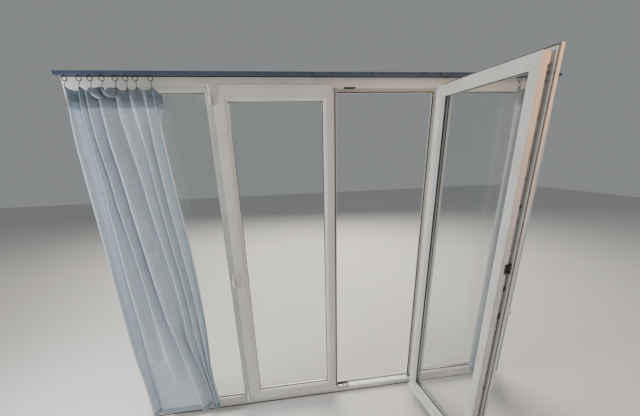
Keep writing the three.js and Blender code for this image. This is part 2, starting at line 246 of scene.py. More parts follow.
@dataclass(frozen=True)
class Gasket(Finish):
    """EPDM rubber, extruded: dull, with a bloom of pale dust in patches 12 mm across."""

    name: str = "black_epdm_gasket"
    colour: str = "#1b1c1c"
    dark: str = "#151616"
    pale: str = "#2b2c2b"
    dusty: str = "#3d3d3a"

    def dress(self, tree: Tree) -> Feeds:
        """Dust the rubber and roughen it where the dust lies.

        Args:
            tree: The material's node tree.

        Returns:
            What feeds the shader's inputs.
        """
        place = add_node(tree, "TexCoord").outputs["Object"]
        dust = add_node(tree, "TexNoise", {"Scale": 80.0, "Detail": 5.0}, {"Vector": place})
        stops = (0.35, self.dark), (0.65, self.pale), (0.85, self.dusty)
        return {
            "Base Color": add_node(tree, "ValToRGB", {"stops": stops}, {"Fac": dust}),
            "Roughness": add_node(tree, "MapRange", span(0.5, 0.75), {"Value": dust}),
            "Normal": add_node(tree, "Bump", {"Distance": 0.0001}, {"Height": dust}),
        }


@dataclass(frozen=True)
class FloatGlass(Finish):
    """Clear float glass: it shows what is behind it and mirrors more the flatter it is seen."""

    name: str = "clear_float_glass"
    colour: str = "#e4efec"
    roughness: float = 0.015
    metallic: float = 1.0

    def dress(self, tree: Tree) -> Feeds:
        """Let the gloss alone cover the pane, rising to the fifth power of the slant, with a trace of haze.

        Args:
            tree: The material's node tree.

        Returns:
            What feeds the shader's inputs.
        """
        place = add_node(tree, "TexCoord").outputs["Object"]
        slant = add_node(tree, "LayerWeight", {"Blend": 0.5}).outputs["Facing"]
        steep = add_node(tree, "Math", {"operation": "POWER", 1: 5.0}, {0: slant})
        gloss = add_node(tree, "MapRange", span(0.03, 0.75), {"Value": steep})
        # smears 140 mm across, left by wiping
        film = add_node(tree, "TexNoise", {"Scale": 7.0, "Detail": 6.0, "Roughness": 0.62}, {"Vector": place})
        haze = add_node(tree, "MapRange", span(0.0, 0.02, 0.4, 0.8), {"Value": film})
        return {"Alpha": add_node(tree, "Math", {"operation": "ADD", "use_clamp": True}, {0: gloss, 1: haze})}


@dataclass(frozen=True)
class Spacer(Finish):
    """Rolled aluminium spacer bar with its rows of breathing holes, a dot every 4 mm."""

    name: str = "mill_aluminium_spacer"
    colour: str = "#c6c9ca"
    roughness: float = 0.42
    metallic: float = 0.9

    def dress(self, tree: Tree) -> Feeds:
        """Darken the dots, coarser than the real ones so that the render shows them.

        Args:
            tree: The material's node tree.

        Returns:
            What feeds the shader's inputs.
        """
        place = add_node(tree, "TexCoord").outputs["Object"]
        cells = add_node(tree, "TexVoronoi", {"Scale": 250.0, "Randomness": 0.15}, {"Vector": place})
        stops = (0.12, "#6f7172"), (0.2, self.colour)
        return {"Base Color": add_node(tree, "ValToRGB", {"stops": stops}, {"Fac": cells.outputs["Distance"]})}


@dataclass(frozen=True)
class DrawnMetal(Finish):
    """Metal that was drawn or pressed: cloudy plating with fine lines 1 mm apart along its length."""

    name: str = "zinc_plated_steel"
    colour: str = "#a4a6a6"
    metallic: float = 1.0
    shade: str = "#77797a"

    def dress(self, tree: Tree) -> Feeds:
        """Cloud the plating in patches 17 mm across and draw its lines along Z.

        Args:
            tree: The material's node tree.

        Returns:
            What feeds the shader's inputs.
        """
        place = add_node(tree, "TexCoord").outputs["Object"]
        clouds = add_node(tree, "TexNoise", {"Scale": 60.0, "Detail": 5.0, "Roughness": 0.6},
                          {"Vector": place})
        stops = (0.34, self.shade), (0.62, self.colour)
        along = add_node(tree, "Mapping", {"Scale": (1000.0, 1000.0, 30.0)}, {"Vector": place})
        lines = add_node(tree, "TexNoise", {"Scale": 1.0, "Detail": 2.0}, {"Vector": along})
        return {
            "Base Color": add_node(tree, "ValToRGB", {"stops": stops}, {"Fac": clouds}),
            "Roughness": add_node(tree, "MapRange", span(0.28, 0.52), {"Value": clouds}),
            "Normal": add_node(tree, "Bump", {"Distance": 0.00003}, {"Height": lines}),
        }


@dataclass(frozen=True)
class SmoothMoulding(Finish):
    """A moulded or coated surface: smoother and brighter than the profiles, with grain under 1 mm."""

    name: str = "white_moulded_abs"
    colour: str = "#eceae5"
    ior: float = 1.53
    worn: str = "#dcd9d1"
    grain: float = 1400.0
    gloss: Pair = (0.2, 0.4)

    def dress(self, tree: Tree) -> Feeds:
        """Vary colour and gloss a little where hands wear it, in patches 26 mm across.

        Args:
            tree: The material's node tree.

        Returns:
            What feeds the shader's inputs.
        """
        place = add_node(tree, "TexCoord").outputs["Object"]
        wear = add_node(tree, "TexNoise", {"Scale": 38.0, "Detail": 5.0}, {"Vector": place})
        stops = (0.3, self.worn), (0.6, self.colour)
        grains = add_node(tree, "TexNoise", {"Scale": self.grain, "Detail": 2.0}, {"Vector": place})
        return {
            "Base Color": add_node(tree, "ValToRGB", {"stops": stops}, {"Fac": wear}),
            "Roughness": add_node(tree, "MapRange", span(*self.gloss), {"Value": wear}),
            "Normal": add_node(tree, "Bump", {"Distance": 0.00002}, {"Height": grains}),
        }


@dataclass(frozen=True)
class WovenCloth(Finish):
    """Pale blue plain weave: matt, letting daylight through, with slubs along both threads."""

    name: str = "woven_curtain_cloth"
    colour: str = "#b6c0c9"
    roughness: float = 0.86
    width: float = 0.8
    length: float = 1.95
    glow: float = 0.5

    def surface(self) -> Settings:
        """Let light through the cloth and give it a soft sheen.

        Returns:
            The shader's own values.
        """
        return super().surface() | {
            "Subsurface Weight": self.glow, "Subsurface Radius": (0.9, 1.0, 1.1), "Subsurface Scale": 0.004,
            "Sheen Weight": 0.25, "Sheen Roughness": 0.5,
        }

    def dress(self, tree: Tree) -> Feeds:
        """Weave threads 2 mm apart on the cloth's own map, coarser than the real ones so that they show.

        Args:
            tree: The material's node tree.

        Returns:
            What feeds the shader's inputs.
        """
        chart = add_node(tree, "TexCoord").outputs["UV"]
        flat = add_node(tree, "Mapping", {"Scale": (self.width, self.length, 1.0)}, {"Vector": chart})
        thread = {"Scale": 155.0, "Distortion": 1.2, "Detail": 1.0}
        across, down = (
            add_node(tree, "TexWave", thread | {"bands_direction": way}, {"Vector": flat}).outputs["Fac"]
            for way in ("X", "Y")
        )
        weave = add_node(tree, "Math", {"operation": "MULTIPLY"}, {0: across, 1: down})
        # slubs run 100 mm along the warp and 90 mm along the weft, each 2.5 mm wide
        warp, weft = (
            add_node(tree, "TexNoise", {"Scale": 1.0, "Detail": 3.0},
                     {"Vector": add_node(tree, "Mapping", {"Scale": stretch}, {"Vector": flat})})
            for stretch in ((420.0, 9.0, 1.0), (11.0, 380.0, 1.0))
        )
        uneven = add_node(tree, "Math", {"operation": "ADD"}, {0: warp, 1: weft})
        thickness = add_node(tree, "MapRange", span(0.0, 1.0, 0.7, 1.3), {"Value": uneven})
        stops = (0.2, "#a8b4bf"), (0.5, self.colour), (0.8, "#c2cbd2")
        shades = add_node(tree, "ValToRGB", {"stops": stops}, {"Fac": thickness})
        # painted shade: the doubled heading, 85 mm tall, and the 40 mm hem are painted darker to stand for the
        # daylight that they hold back
        height = add_node(tree, "SeparateXYZ", links={"Vector": chart}).outputs["Y"]
        hem = (0.0, "#d3d6d9"), (0.0205, "#c6cacd"), (0.021, "#ffffff")
        heading = (0.954, "#ffffff"), (0.958, "#c4c8cc"), (1.0, "#b4b9be")
        heading_and_hem_shade = add_node(tree, "ValToRGB", {"stops": hem + heading}, {"Fac": height})
        tinted = add_node(tree, "Mix", {"data_type": "RGBA", "blend_type": "MULTIPLY", 0: 1.0},
                          {6: shades, 7: heading_and_hem_shade})
        relief = add_node(tree, "Math", {"operation": "ADD"}, {0: weave, 1: uneven})
        return {
            "Base Color": tinted.outputs[2],
            "Normal": add_node(tree, "Bump", {"Distance": 0.00025}, {"Height": relief}),
        }


@dataclass(frozen=True)
class HeadingTape(Finish):
    """Woven gathering tape: pale bars with grey stripes between them, darkened to near black at the hook
    pockets as painted shade.
    """

    name: str = "woven_heading_tape"
    colour: str = "#c3c9ce"
    roughness: float = 0.8
    pockets: float = 24.0

    def dress(self, tree: Tree) -> Feeds:
        """Set the pockets 10 mm apart on the cloth's own map.

        Args:
            tree: The material's node tree.

        Returns:
            What feeds the shader's inputs.
        """
        chart = add_node(tree, "TexCoord").outputs["UV"]
        wave = add_node(tree, "TexWave", {"bands_direction": "X", "Scale": self.pockets}, {"Vector": chart})
        bars = wave.outputs["Fac"]
        # the grey stripe is the tape's own colour; the near-black stop at each hook pocket is painted shade
        stops = (0.3, "#2f363c"), (0.5, "#7b858d"), (0.7, self.colour)
        return {
            "Base Color": add_node(tree, "ValToRGB", {"stops": stops}, {"Fac": bars}),
            "Normal": add_node(tree, "Bump", {"Distance": 0.0006}, {"Height": bars}),
        }


PVC = ExtrudedPvc()
RUBBER = Gasket()
# rubber that light and dust have paled
GREY_RUBBER = Gasket(name="grey_epdm_gasket", dark="#5d5b57", pale="#7b7872", dusty="#8f8c86")
GLASS = FloatGlass()
SPACER = Spacer()
# bright plating, clouded where it was handled
ZINC = DrawnMetal()
# plating gone pale and chalky
DULL_ZINC = DrawnMetal(name="dull_zinc_plated_steel", colour="#dcdad4", shade="#b9b6ae")
# warm yellow plating, dark where it has worn
BRONZE = DrawnMetal(name="yellow_passivated_steel", colour="#9c8764", shade="#5f5442")
# cool and even, with fine lines along its length
ALUMINIUM = DrawnMetal(name="anodised_aluminium", colour="#aab4bd", shade="#8e99a3")
# brown black, with paler wear
BLACKENED = DrawnMetal(name="blackened_steel", colour="#77756e", shade="#3b3936")
# moulded caps, brighter and glossier than the profiles
CAP = SmoothMoulding()
# a thick coat, even and glossy
COATED = SmoothMoulding(name="white_powder_coated_zinc", colour="#efeeea", grain=2200.0)
# near black, with a soft gloss
NYLON = SmoothMoulding(name="dark_moulded_nylon", colour="#1f2225", worn="#15171a")
# satin paint, a little darker where it is worn
TRACK_PAINT = SmoothMoulding(name="blue_grey_painted_aluminium", colour="#4c596c", worn="#414e62")
# dark plastic with a satin skin, its dark colour painted shade: it stands for the shadow line between the head
# and the track
SHADOW_LINE_STRIP = SmoothMoulding(name="shadow_line_dark_strip", colour="#3c3e40", worn="#2f3132")
# flat paint that mirrors next to nothing
BLACK_STEEL = SmoothMoulding(name="black_painted_steel", colour="#141517", worn="#0c0d0e", gloss=(0.75, 0.95))
CLOTH = WovenCloth()
TAPE = HeadingTape()
FLOOR = Finish("pale_studio_floor", "#d9d8d5", 0.7)


# the bench: modelling moves that every piece uses


def at(x: float, y: float, z: float) -> Vector:
    """A place or move given in millimetres."""
    return Vector((x, y, z)) * MM


def deselect() -> None:
    """Leave edit mode and select nothing."""
    if bpy.context.mode != "OBJECT":
        bpy.ops.object.mode_set(mode="OBJECT")
    bpy.ops.object.select_all(action="DESELECT")


def select(*pieces: Piece) -> None:
    """Select these pieces alone, the first one active.

    Args:
        pieces: Pieces of the scene.
    """
    deselect()
    for piece in pieces:
        piece.select_set(True)
    bpy.context.view_layer.objects.active = pieces[0]


def named(piece: Piece, name: str) -> Piece:
    """Give a piece and its mesh the same name."""
    piece.name = piece.data.name = name
    return piece


def start(name: str) -> Piece:
    """Take the primitive that was just added as a named piece, open in edit mode with all selected.

    Args:
        name: The piece's name.

    Returns:
        The piece.
    """
    piece = named(bpy.context.active_object, name)
    bpy.ops.object.mode_set(mode="EDIT")
    bpy.ops.mesh.select_all(action="SELECT")
    return piece


def close(piece: Piece, smooth: float = 32.0) -> Piece:
    """Apply a piece's place, turn its faces outwards and smooth its round stretches.

    Args:
        piece: A piece in either mode.
        smooth: Faces that meet at less than this angle shade as one.

    Returns:
        The piece, in object mode.
    """
    select(piece)
    bpy.ops.object.transform_apply(location=True, rotation=True, scale=True)
    bpy.ops.object.mode_set(mode="EDIT")
    bpy.ops.mesh.select_all(action="SELECT")
    bpy.ops.mesh.normals_make_consistent(inside=False)
    bpy.ops.object.mode_set(mode="OBJECT")
    bpy.ops.object.shade_smooth_by_angle(angle=math.radians(smooth))
    return piece


def modified(piece: Piece, kind: str, **settings: object) -> Piece:
    """Apply a modifier to a piece.

    Args:
        piece: The piece, in object mode.
        kind: The modifier's type.
        settings: Its values by their names.

    Returns:
        The same piece.
    """
    select(piece)
    bpy.ops.object.modifier_add(type=kind)
    change = piece.modifiers[-1]
    for key, value in settings.items():
        setattr(change, key, value)
    bpy.ops.object.modifier_apply(modifier=change.name)
    return piece


def bevelled(piece: Piece, width: float, steps: int = 1, angle: float = 40.0) -> Piece:
    """Round a piece's sharp edges with an applied bevel.

    Args:
        piece: The piece, in object mode.
        width: Bevel width in millimetres.
        steps: Segments of the round.
        angle: Edges sharper than this are rounded.

    Returns:
        The same piece.
    """
    return modified(piece, "BEVEL", limit_method="ANGLE", angle_limit=math.radians(angle), width=width * MM,
                    segments=steps)


def carved(piece: Piece, *tools: Piece) -> Piece:
    """Cut closed tools out of a piece and throw the tools away.

    Args:
        piece: The piece, in object mode.
        tools: Closed solids.

    Returns:
        The same piece, closed.
    """
    for tool in tools:
        modified(piece, "BOOLEAN", operation="DIFFERENCE", solver="EXACT", object=tool)
        select(tool)
        bpy.ops.object.delete()
    return close(piece)


def joined(name: str, pieces: Sequence[Piece]) -> Piece:
    """Join pieces into one with this name.

    Args:
        name: The whole piece's name.
        pieces: Its parts, closed.

    Returns:
        The joined piece.
    """
    select(*pieces)
    if len(pieces) > 1:
        bpy.ops.object.join()
    return named(bpy.context.active_object, name)


def copied(piece: Piece, name: str, by: Vector) -> Piece:
    """Copy a piece with its own mesh, moved by a vector that is applied to the copy.

    Args:
        piece: The piece, in object mode.
        name: The copy's name.
        by: How far the copy is moved, in metres.

    Returns:
        The copy.
    """
    twin = piece.copy()
    twin.data = piece.data.copy()
    named(twin, name)
    bpy.context.scene.collection.objects.link(twin)
    twin.location = by
    select(twin)
    bpy.ops.object.transform_apply(location=True, rotation=False, scale=False)
    return twin


def mirrored(piece: Piece, name: str) -> Piece:
    """Copy a piece to the other side of the middle plane, with its faces turned outwards again.

    Args:
        piece: The piece, in object mode.
        name: The copy's name.

    Returns:
        The mirror image.
    """
    twin = copied(piece, name, Vector())
    twin.scale.x = -1
    return close(twin)


def rounded(points: Iterable[Corner], steps: int = 3) -> Outline:
    """Round the corners of an outline that have a radius as their third value.

    Args:
        points: Corners as (x, y) or (x, y, radius).
        steps: Segments of each round.

    Returns:
        The outline's points.
    """
    corners = [(Vector(p[:2]), p[2] if len(p) > 2 else 0.0) for p in points]
    outline = []
    for i, (here, radius) in enumerate(corners):
        if not radius:
            outline.append(tuple(here))
            continue
        before = here + (corners[i - 1][0] - here).normalized() * radius
        after = here + (corners[(i + 1) % len(corners)][0] - here).normalized() * radius
        for k in range(steps + 1):
            t = k / steps
            outline.append(tuple(before * (1 - t) ** 2 + here * 2 * t * (1 - t) + after * t * t))
    return outline


def drawn(name: str, points: Sequence[Vector]) -> Piece:
    """Draw a line by extruding one vertex from point to point.

    Args:
        name: The piece's name.
        points: Places in metres.

    Returns:
        The line, open in edit mode with all selected.
    """
    deselect()
    bpy.ops.mesh.primitive_plane_add(size=MM)
    piece = start(name)
    bpy.ops.mesh.merge(type="CENTER")
    bpy.ops.transform.translate(value=points[0])
    for here, there in zip(points, points[1:]):
        bpy.ops.mesh.extrude_vertices_move(TRANSFORM_OT_translate={"value": there - here})
    bpy.ops.mesh.select_all(action="SELECT")
    return piece


def prism(name: str, outline: Sequence[Vector], run: Vector) -> Piece:
    """Fill a drawn outline and pull it along a run.

    Args:
        name: The piece's name.
        outline: Corners in metres.
        run: Length and direction of the pull.

    Returns:
        The prism, open in edit mode with all selected.
    """
    piece = drawn(name, outline)
    bpy.ops.mesh.edge_face_add()
    bpy.ops.mesh.extrude_region_move(TRANSFORM_OT_translate={"value": run})
    bpy.ops.mesh.select_all(action="SELECT")
    return piece


def column(name: str, outline: Iterable[Corner], foot: float, tall: float) -> Piece:
    """An upright closed solid over an outline across and outboard, all in millimetres."""
    return close(prism(name, [at(x, y, foot) for x, y in outline], UP * (tall * MM)))


def trim(point: Vector, outwards: Vector) -> None:
    """Cut the piece in edit mode by a plane, take away what lies outwards of it and close the cut."""
    bpy.ops.mesh.select_all(action="SELECT")
    bpy.ops.mesh.bisect(plane_co=point, plane_no=outwards, use_fill=True, clear_outer=True)


@dataclass(frozen=True)
class Cut:
    """A plane that trims a bar: what lies outwards of it goes."""

    point: Vector
    outwards: Vector


def bar(name: str, section: Sequence[Corner], origin: Vector, inwards: Vector, length: float,
        mitred: bool = True, cuts: Sequence[Cut] = (), gap: float = 0.2, edge: float = 0.35) -> Piece:
    """A profile bar, with its ends sawn square or at 45 degrees.

    Args:
        name: The piece's name.
        section: Outline in millimetres: first inwards from the outer edge, then outboard.
        origin: The outer corner where the bar starts, in metres.
        inwards: The section's first direction.
        length: Length along the outer edge, in millimetres.
        mitred: Whether the ends follow the section inwards.
        cuts: Further planes that trim it.
        gap: What each end stands off its corner.
        edge: The width of the small bevel along its sharp edges.

    Returns:
        The finished bar.
    """
    along = inwards.cross(OUTBOARD)
    spare = 0.0 if mitred else gap
    outline = [origin + along * (spare * MM) + inwards * (u * MM) + OUTBOARD * (v * MM) for u, v in section]
    piece = prism(name, outline, along * ((length - 2 * spare) * MM))
    if mitred:
        trim(origin + along * (gap * MM), inwards - along)
        trim(origin + along * ((length - gap) * MM), inwards + along)
    for cut in cuts:
        trim(cut.point, cut.outwards)
    close(piece)
    return bevelled(piece, edge) if edge else piece


def ring(name: str, section: Sequence[Corner], edges: Sequence[float], gap: float = 0.1,
         edge: float = 0.35) -> Piece:
    """Four mitred bars round a rectangle, joined as one piece.

    Args:
        name: The piece's name.
        section: Outline in millimetres: inwards from the rectangle, then outboard.
        edges: The rectangle's left, right, lower and upper edge in millimetres.
        gap: What each bar stands off its mitre.
        edge: The width of the small bevel.

    Returns:
        The ring.
    """
    x0, x1, z0, z1 = edges
    sides = (
        (at(x0, 0, z1), DOWN, x1 - x0),
        (at(x0, 0, z0), RIGHT, z1 - z0),
        (at(x1, 0, z1), LEFT, z1 - z0),
        (at(x1, 0, z0), UP, x1 - x0),
    )
    bars = [bar(f"{name}_{i}", section, *side, gap=gap, edge=edge) for i, side in enumerate(sides)]
    return joined(name, bars)


def block(name: str, low: Corner, high: Corner, edge: float = 0.6, steps: int = 2) -> Piece:
    """A small solid between two corners, every edge rounded.

    Args:
        name: The piece's name.
        low: Its lowest corner in millimetres.
        high: Its highest corner.
        edge: Radius of its edges.
        steps: Segments of each round.

    Returns:
        The finished block.
    """
    deselect()
    lowest, highest = at(*low), at(*high)
    bpy.ops.mesh.primitive_cube_add(size=1, location=(lowest + highest) / 2, scale=highest - lowest)
    return bevelled(close(start(name)), edge, steps)


def plate(name: str, outline: Sequence[Corner], origin: Vector, across: Vector, up: Vector, thick: float,
          edge: float = 0.6, steps: int = 2) -> Piece:
    """A flat part with a free outline, its rims rounded.

    Args:
        name: The piece's name.
        outline: Corners in millimetres, across and up from the origin.
        origin: Where the outline's zero lies, in metres.
        across: The outline's first direction.
        up: Its second direction.
        thick: Thickness in millimetres, along the cross product of the two.
        edge: Radius of its rims.
        steps: Segments of each round.

    Returns:
        The finished plate.
    """
    points = [origin + across * (a * MM) + up * (b * MM) for a, b in outline]
    return bevelled(close(prism(name, points, across.cross(up) * (thick * MM))), edge, steps)


def turned(name: str, profile: Sequence[Pair], centre: Vector, axis: Vector, steps: int = 28) -> Piece:
    """A round part spun from its half profile.

    Args:
        name: The piece's name.
        profile: Radius and height in millimetres, from the axis at the foot to the axis at the top.
        centre: Where the foot's middle stands, in metres.
        axis: The direction of its height.
        steps: Segments of the turn.

    Returns:
        The finished part.
    """
    side = axis.orthogonal().normalized()
    piece = drawn(name, [centre + side * (r * MM) + axis * (h * MM) for r, h in profile])
    bpy.ops.mesh.spin(steps=steps, angle=math.tau, center=centre, axis=axis)
    bpy.ops.mesh.select_all(action="SELECT")
    bpy.ops.mesh.remove_doubles(threshold=0.01 * MM)
    return close(piece)


def screw(name: str, centre: Vector, axis: Vector, radius: float = 3.6) -> Piece:
    """A countersunk screw head with a round recess.

    Args:
        name: The piece's name.
        centre: The middle of the surface that it sits in, in metres.
        axis: The direction that its head looks.
        radius: Head radius in millimetres.

    Returns:
        The finished head.
    """
    hole = radius * 0.45
    rim = [(0, -1.0), (radius * 0.7, -1.0), (radius, 0), (radius * 0.9, 0.4)]
    return turned(name, [*rim, (hole, 0.5), (hole * 0.8, -0.6), (0, -0.7)], centre, axis, 16)


def wire(name: str, points: Sequence[Vector], radius: float) -> Piece:
    """A round wire along a line of places, its ends capped.

    Args:
        name: The piece's name.
        points: Places in metres.
        radius: Radius in millimetres.

    Returns:
        The finished wire.
    """
    drawn(name, points)
    bpy.ops.object.mode_set(mode="OBJECT")
    bpy.ops.object.convert(target="CURVE")
    line = bpy.context.active_object.data
    line.bevel_depth = radius * MM
    line.bevel_resolution = 2
    line.use_fill_caps = True
    bpy.ops.object.convert(target="MESH")
    return close(named(bpy.context.active_object, name), 50.0)


def fit(piece: Piece, finish: Finish, replaces: Sequence[str] = (),
        body: Body = Body.FRAME) -> Piece:
    """Dress a finished piece and hang it on its body.

    Args:
        piece: The piece, in place.
        finish: Its material.
        replaces: CAD nodes that it stands for.
        body: The body that it rides on.

    Returns:
        The same piece.
    """
    piece.data.materials.clear()
    piece.data.materials.append(finish.build())
    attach(piece, body.value)
    if replaces:
        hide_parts(*replaces)
    log.info("%s on %s, %s", piece.name, body.value, finish.name)
    return piece


# bars that show no joint line and no bevel, such as rubber
SEAMLESS = {"gap": 0, "edge": 0}


def unmoved(piece: Piece) -> Piece:
    """Leave a piece where it is."""
    return piece


@dataclass
class Glazing:
    """Double glazing of one light, with its beads, rubbers and spacer.

    Its sections run inwards from the rebate, and outboard from the beads' front.
    """

    name: str
    edges: tuple[float, float, float, float]
    front: float
    body: Body
    move: Callable[[Piece], Piece] = unmoved
    bead_wide: float = 20.0
    bead_deep: float = 28.4
    rubber: float = 3.0
    pane: float = 4.0
    unit: float = 24.0
    proud: float = 1.3
    pane_inset: float = 4.0

    def bead_section(self) -> Outline:
        """A bead with a narrow flat, a small step and an ovolo down to the glass.

        Returns:
            Its corners in millimetres.
        """
        front, wide, back = self.front, self.bead_wide, self.front + self.bead_deep
        return rounded([
            (0.3, back), (0.3, front + 0.6, 0.5), (5.6, front + 0.3, 1.2), (6.8, front + 2.2),
            (8.2, front + 2.4, 0.8), (15.0, front + 6.5, 5.0), (wide - 1.0, front + 18.0, 4.0),
            (wide, back - 3.0, 1.0), (wide, back - 0.6), (wide - 2.0, back),
        ])

    def rubber_section(self, back: float) -> Outline:
        """A lip of rubber that ends just past the sight line, with its far face at the back.

        Args:
            back: Its far face, outboard.

        Returns:
            Its corners in millimetres.
        """
        near, reach = back - self.rubber, self.bead_wide + self.proud
        return rounded([
            (10.0, near), (reach - 0.2, near, 0.8), (reach, back - 1.0, 0.6), (reach - 0.6, back),
            (10.0, back),
        ], 2)

    def spacer_section(self, near: float, far: float) -> Outline:
        """The bar between the panes, its corners cut off, showing 3 mm past the sight line.

        Args:
            near: The inner pane's far face.
            far: The outer pane's near face.

        Returns:
            Its corners in millimetres.
        """
        low, high = 12.0, self.bead_wide + 3.0
        return [
            (low, near + 0.1), (high - 1.0, near + 0.1), (high, near + 1.1), (high, far - 1.1),
            (high - 1.0, far - 0.1), (low, far - 0.1),
        ]

    def pane_piece(self, name: str, near: float) -> Piece:
        """One pane of glass with arrissed edges, its near face at this depth.

        Args:
            name: The pane's name.
            near: Its near face, outboard.

        Returns:
            The pane.
        """
        x0, x1, z0, z1 = self.edges
        inset = self.pane_inset
        return block(name, (x0 + inset, near, z0 + inset), (x1 - inset, near + self.pane, z1 - inset), 0.5, 1)

    def install(self, beads_node: str, glass_node: str) -> None:
        """Make the glazing and fit it.

        Args:
            beads_node: The CAD ring of beads that it stands for.
            glass_node: The CAD pane that it stands for.
        """
        rebate = self.front + self.bead_deep + 0.3
        inner = rebate + self.rubber
        outer = rebate + self.unit - self.rubber - self.pane
        rings = (
            ("beads", self.bead_section(), {}, PVC, Slot.PLASTIC, [beads_node]),
            ("inner_rubber", self.rubber_section(inner), SEAMLESS, RUBBER, None, []),
            ("outer_rubber", self.rubber_section(rebate + self.unit), SEAMLESS, RUBBER, None, []),
            ("spacer", self.spacer_section(inner + self.pane, outer), SEAMLESS, SPACER, None, []),
        )
        made = [
            (ring(f"{self.name}_{part}", section, self.edges, **ends), finish, slot, nodes)
            for part, section, ends, finish, slot, nodes in rings
        ]
        made.append((self.pane_piece(f"{self.name}_inner_pane", inner), GLASS, Slot.GLASS, [glass_node]))
        made.append((self.pane_piece(f"{self.name}_outer_pane", outer), GLASS, Slot.GLASS, []))
        for piece, finish, slot, nodes in made:
            fit(self.move(piece), finish, nodes, self.body)


@dataclass
class OuterFrame:
    """The frame's own profiles, with the two side lights glazed into it."""

    half: float = 1280.0
    height: float = 2050.0
    inner: float = -35.0
    outer: float = 35.0
    face: float = 44.0
    lip: float = 20.0
    lip_inside: float = 18.0
    slope: float = 13.0
    door_lip: float = 583.0
    door_rebate: float = 603.0
    light_rebate: float = 632.0
    light_lip: float = 652.0
    gap: float = 0.3
    keep_seat: float = 32.8
    rib_rows: tuple[float, ...] = (-12.0, -6.0, 0.0, 6.0, 12.0)
    seal_foot: float = 43.0

    def section(self) -> Outline:
        """The frame's profile: two grooves in its rebate, a seat for rubber, and a lip that slopes outside.

        Returns:
            Its corners in millimetres.
        """
        face, lip, seat, out = self.face, self.face + self.lip, self.lip_inside, self.outer
        return rounded([
            (0, self.inner, 0.8), (face, self.inner, 3.0), (face, -14), (face - 1.6, -13.4),
            (face - 1.6, -10.6), (face, -10), (face, 2), (face - 1.6, 2.6), (face - 1.6, 5.4), (face, 6),
            (face, seat), (lip - 7, seat), (lip - 6.6, seat + 1.6), (lip - 3.4, seat + 1.6),
            (lip - 3, seat), (lip, seat, 0.8), (lip, seat + 4, 1.5), (lip - self.slope, out, 3.0),
            (0, out, 0.8),
        ])

    def mullion_section(self) -> Outline:
        """The right mullion's profile, across and outboard, with the same grooves on the door's side.

        Returns:
            Its corners in millimetres.
        """
        door, light, seat, out = self.door_rebate, self.light_rebate, self.lip_inside, self.outer
        near, far = self.door_lip, self.light_lip
        return rounded([
            (door, self.inner, 3.0), (light, self.inner, 3.0), (light, seat), (far, seat, 0.8),
            (far, seat + 4, 1.5), (far - self.slope, out, 3.0), (near + self.slope, out, 3.0),
            (near, seat + 4, 1.5), (near, seat, 0.8), (near + 3, seat), (near + 3.4, seat + 1.6),
            (near + 6.6, seat + 1.6), (near + 7, seat), (door, seat), (door, 6), (door + 1.6, 5.4),
            (door + 1.6, 2.6), (door, 2), (door, -10), (door + 1.6, -10.6), (door + 1.6, -13.4),
            (door, -14),
        ])

    def build(self) -> None:
        """Make and fit every profile of the frame and its side lights."""
        half, height = self.half, self.height
        profiles = (
            ("head", at(-half, 0, height), DOWN, 2 * half),
            ("jamb_left", at(-half, 0, 0), RIGHT, height),
            ("jamb_right", at(half, 0, height), LEFT, height),
        )
        for name, origin, inwards, length in profiles:
            profile = bar(f"{name}_profile", self.section(), origin, inwards, length)
            fit(profile, PVC, [f"frame_{name}"])
        self.build_mullions()
        self.build_sills()
        for side, sign in (("left", -1), ("right", 1)):
            x0, x1 = sorted((sign * self.light_rebate, sign * (half - self.face)))
            edges = (x0, x1, self.face, height - self.face)
            Glazing(f"side_light_glazing_{side}", edges, self.inner, Body.FRAME).install(
                f"side_light_beads_{side}", f"side_light_glass_{side}")
        self.build_threshold()
        self.build_sealing_and_shadow_strip()
        self.build_door_rubber()

    def lip_clearance(self, edge: float, sign: int, far: float) -> Outline:
        """What a neighbour gives up to a lip that ends at an edge.

        Args:
            edge: Where the lip ends.
            sign: The direction in which it narrows outside.
            far: How far back the clearance reaches.

        Returns:
            Corners across and outboard.
        """
        reach, seat, out = edge - sign * self.gap, self.lip_inside, self.outer
        return [
            (far, seat - self.gap), (reach, seat - self.gap), (reach, seat + 4),
            (reach + sign * self.slope, out), (reach + sign * self.slope, out + 20), (far, out + 20),
        ]

    def fit_pair(self, piece: Piece, twin_name: str, node: str) -> None:
        """Fit a profile of the right side and its mirror image.

        Args:
            piece: The right side's profile.
            twin_name: The left one's name.
            node: The CAD nodes' name, without their side.
        """
        twin = mirrored(piece, twin_name)
        fit(piece, PVC, [f"{node}_right"])
        fit(twin, PVC, [f"{node}_left"])

    def build_mullions(self) -> None:
        """Stand a post on each side of the doorway, its outer half stopped under the head's lip."""
        top = self.height - self.face - self.gap
        post = column("mullion_profile_right", self.mullion_section(), 0, top)
        under_head = [at(500, y, self.height - z) for z, y in self.lip_clearance(self.face + self.lip, -1, 0)]
        carved(post, close(prism("lip_notch", under_head, RIGHT * 0.2)))
        bevelled(post, 0.35)
        self.fit_pair(post, "mullion_profile_left", "mullion")

    def build_sills(self) -> None:
        """Lay a sill under each side light, from the jamb to the mullion, its lip stopped at the other lip."""
        post = self.light_rebate + self.gap
        sill = bar("sill_profile_right", self.section(), at(self.half, 0, 0), UP, self.half - post + self.face,
                   cuts=[Cut(at(post, 0, 0), LEFT)])
        carved(sill, column("lip_notch", self.lip_clearance(self.light_lip, -1, 500), -10, 100))
        self.fit_pair(sill, "sill_profile_left", "frame_sill")

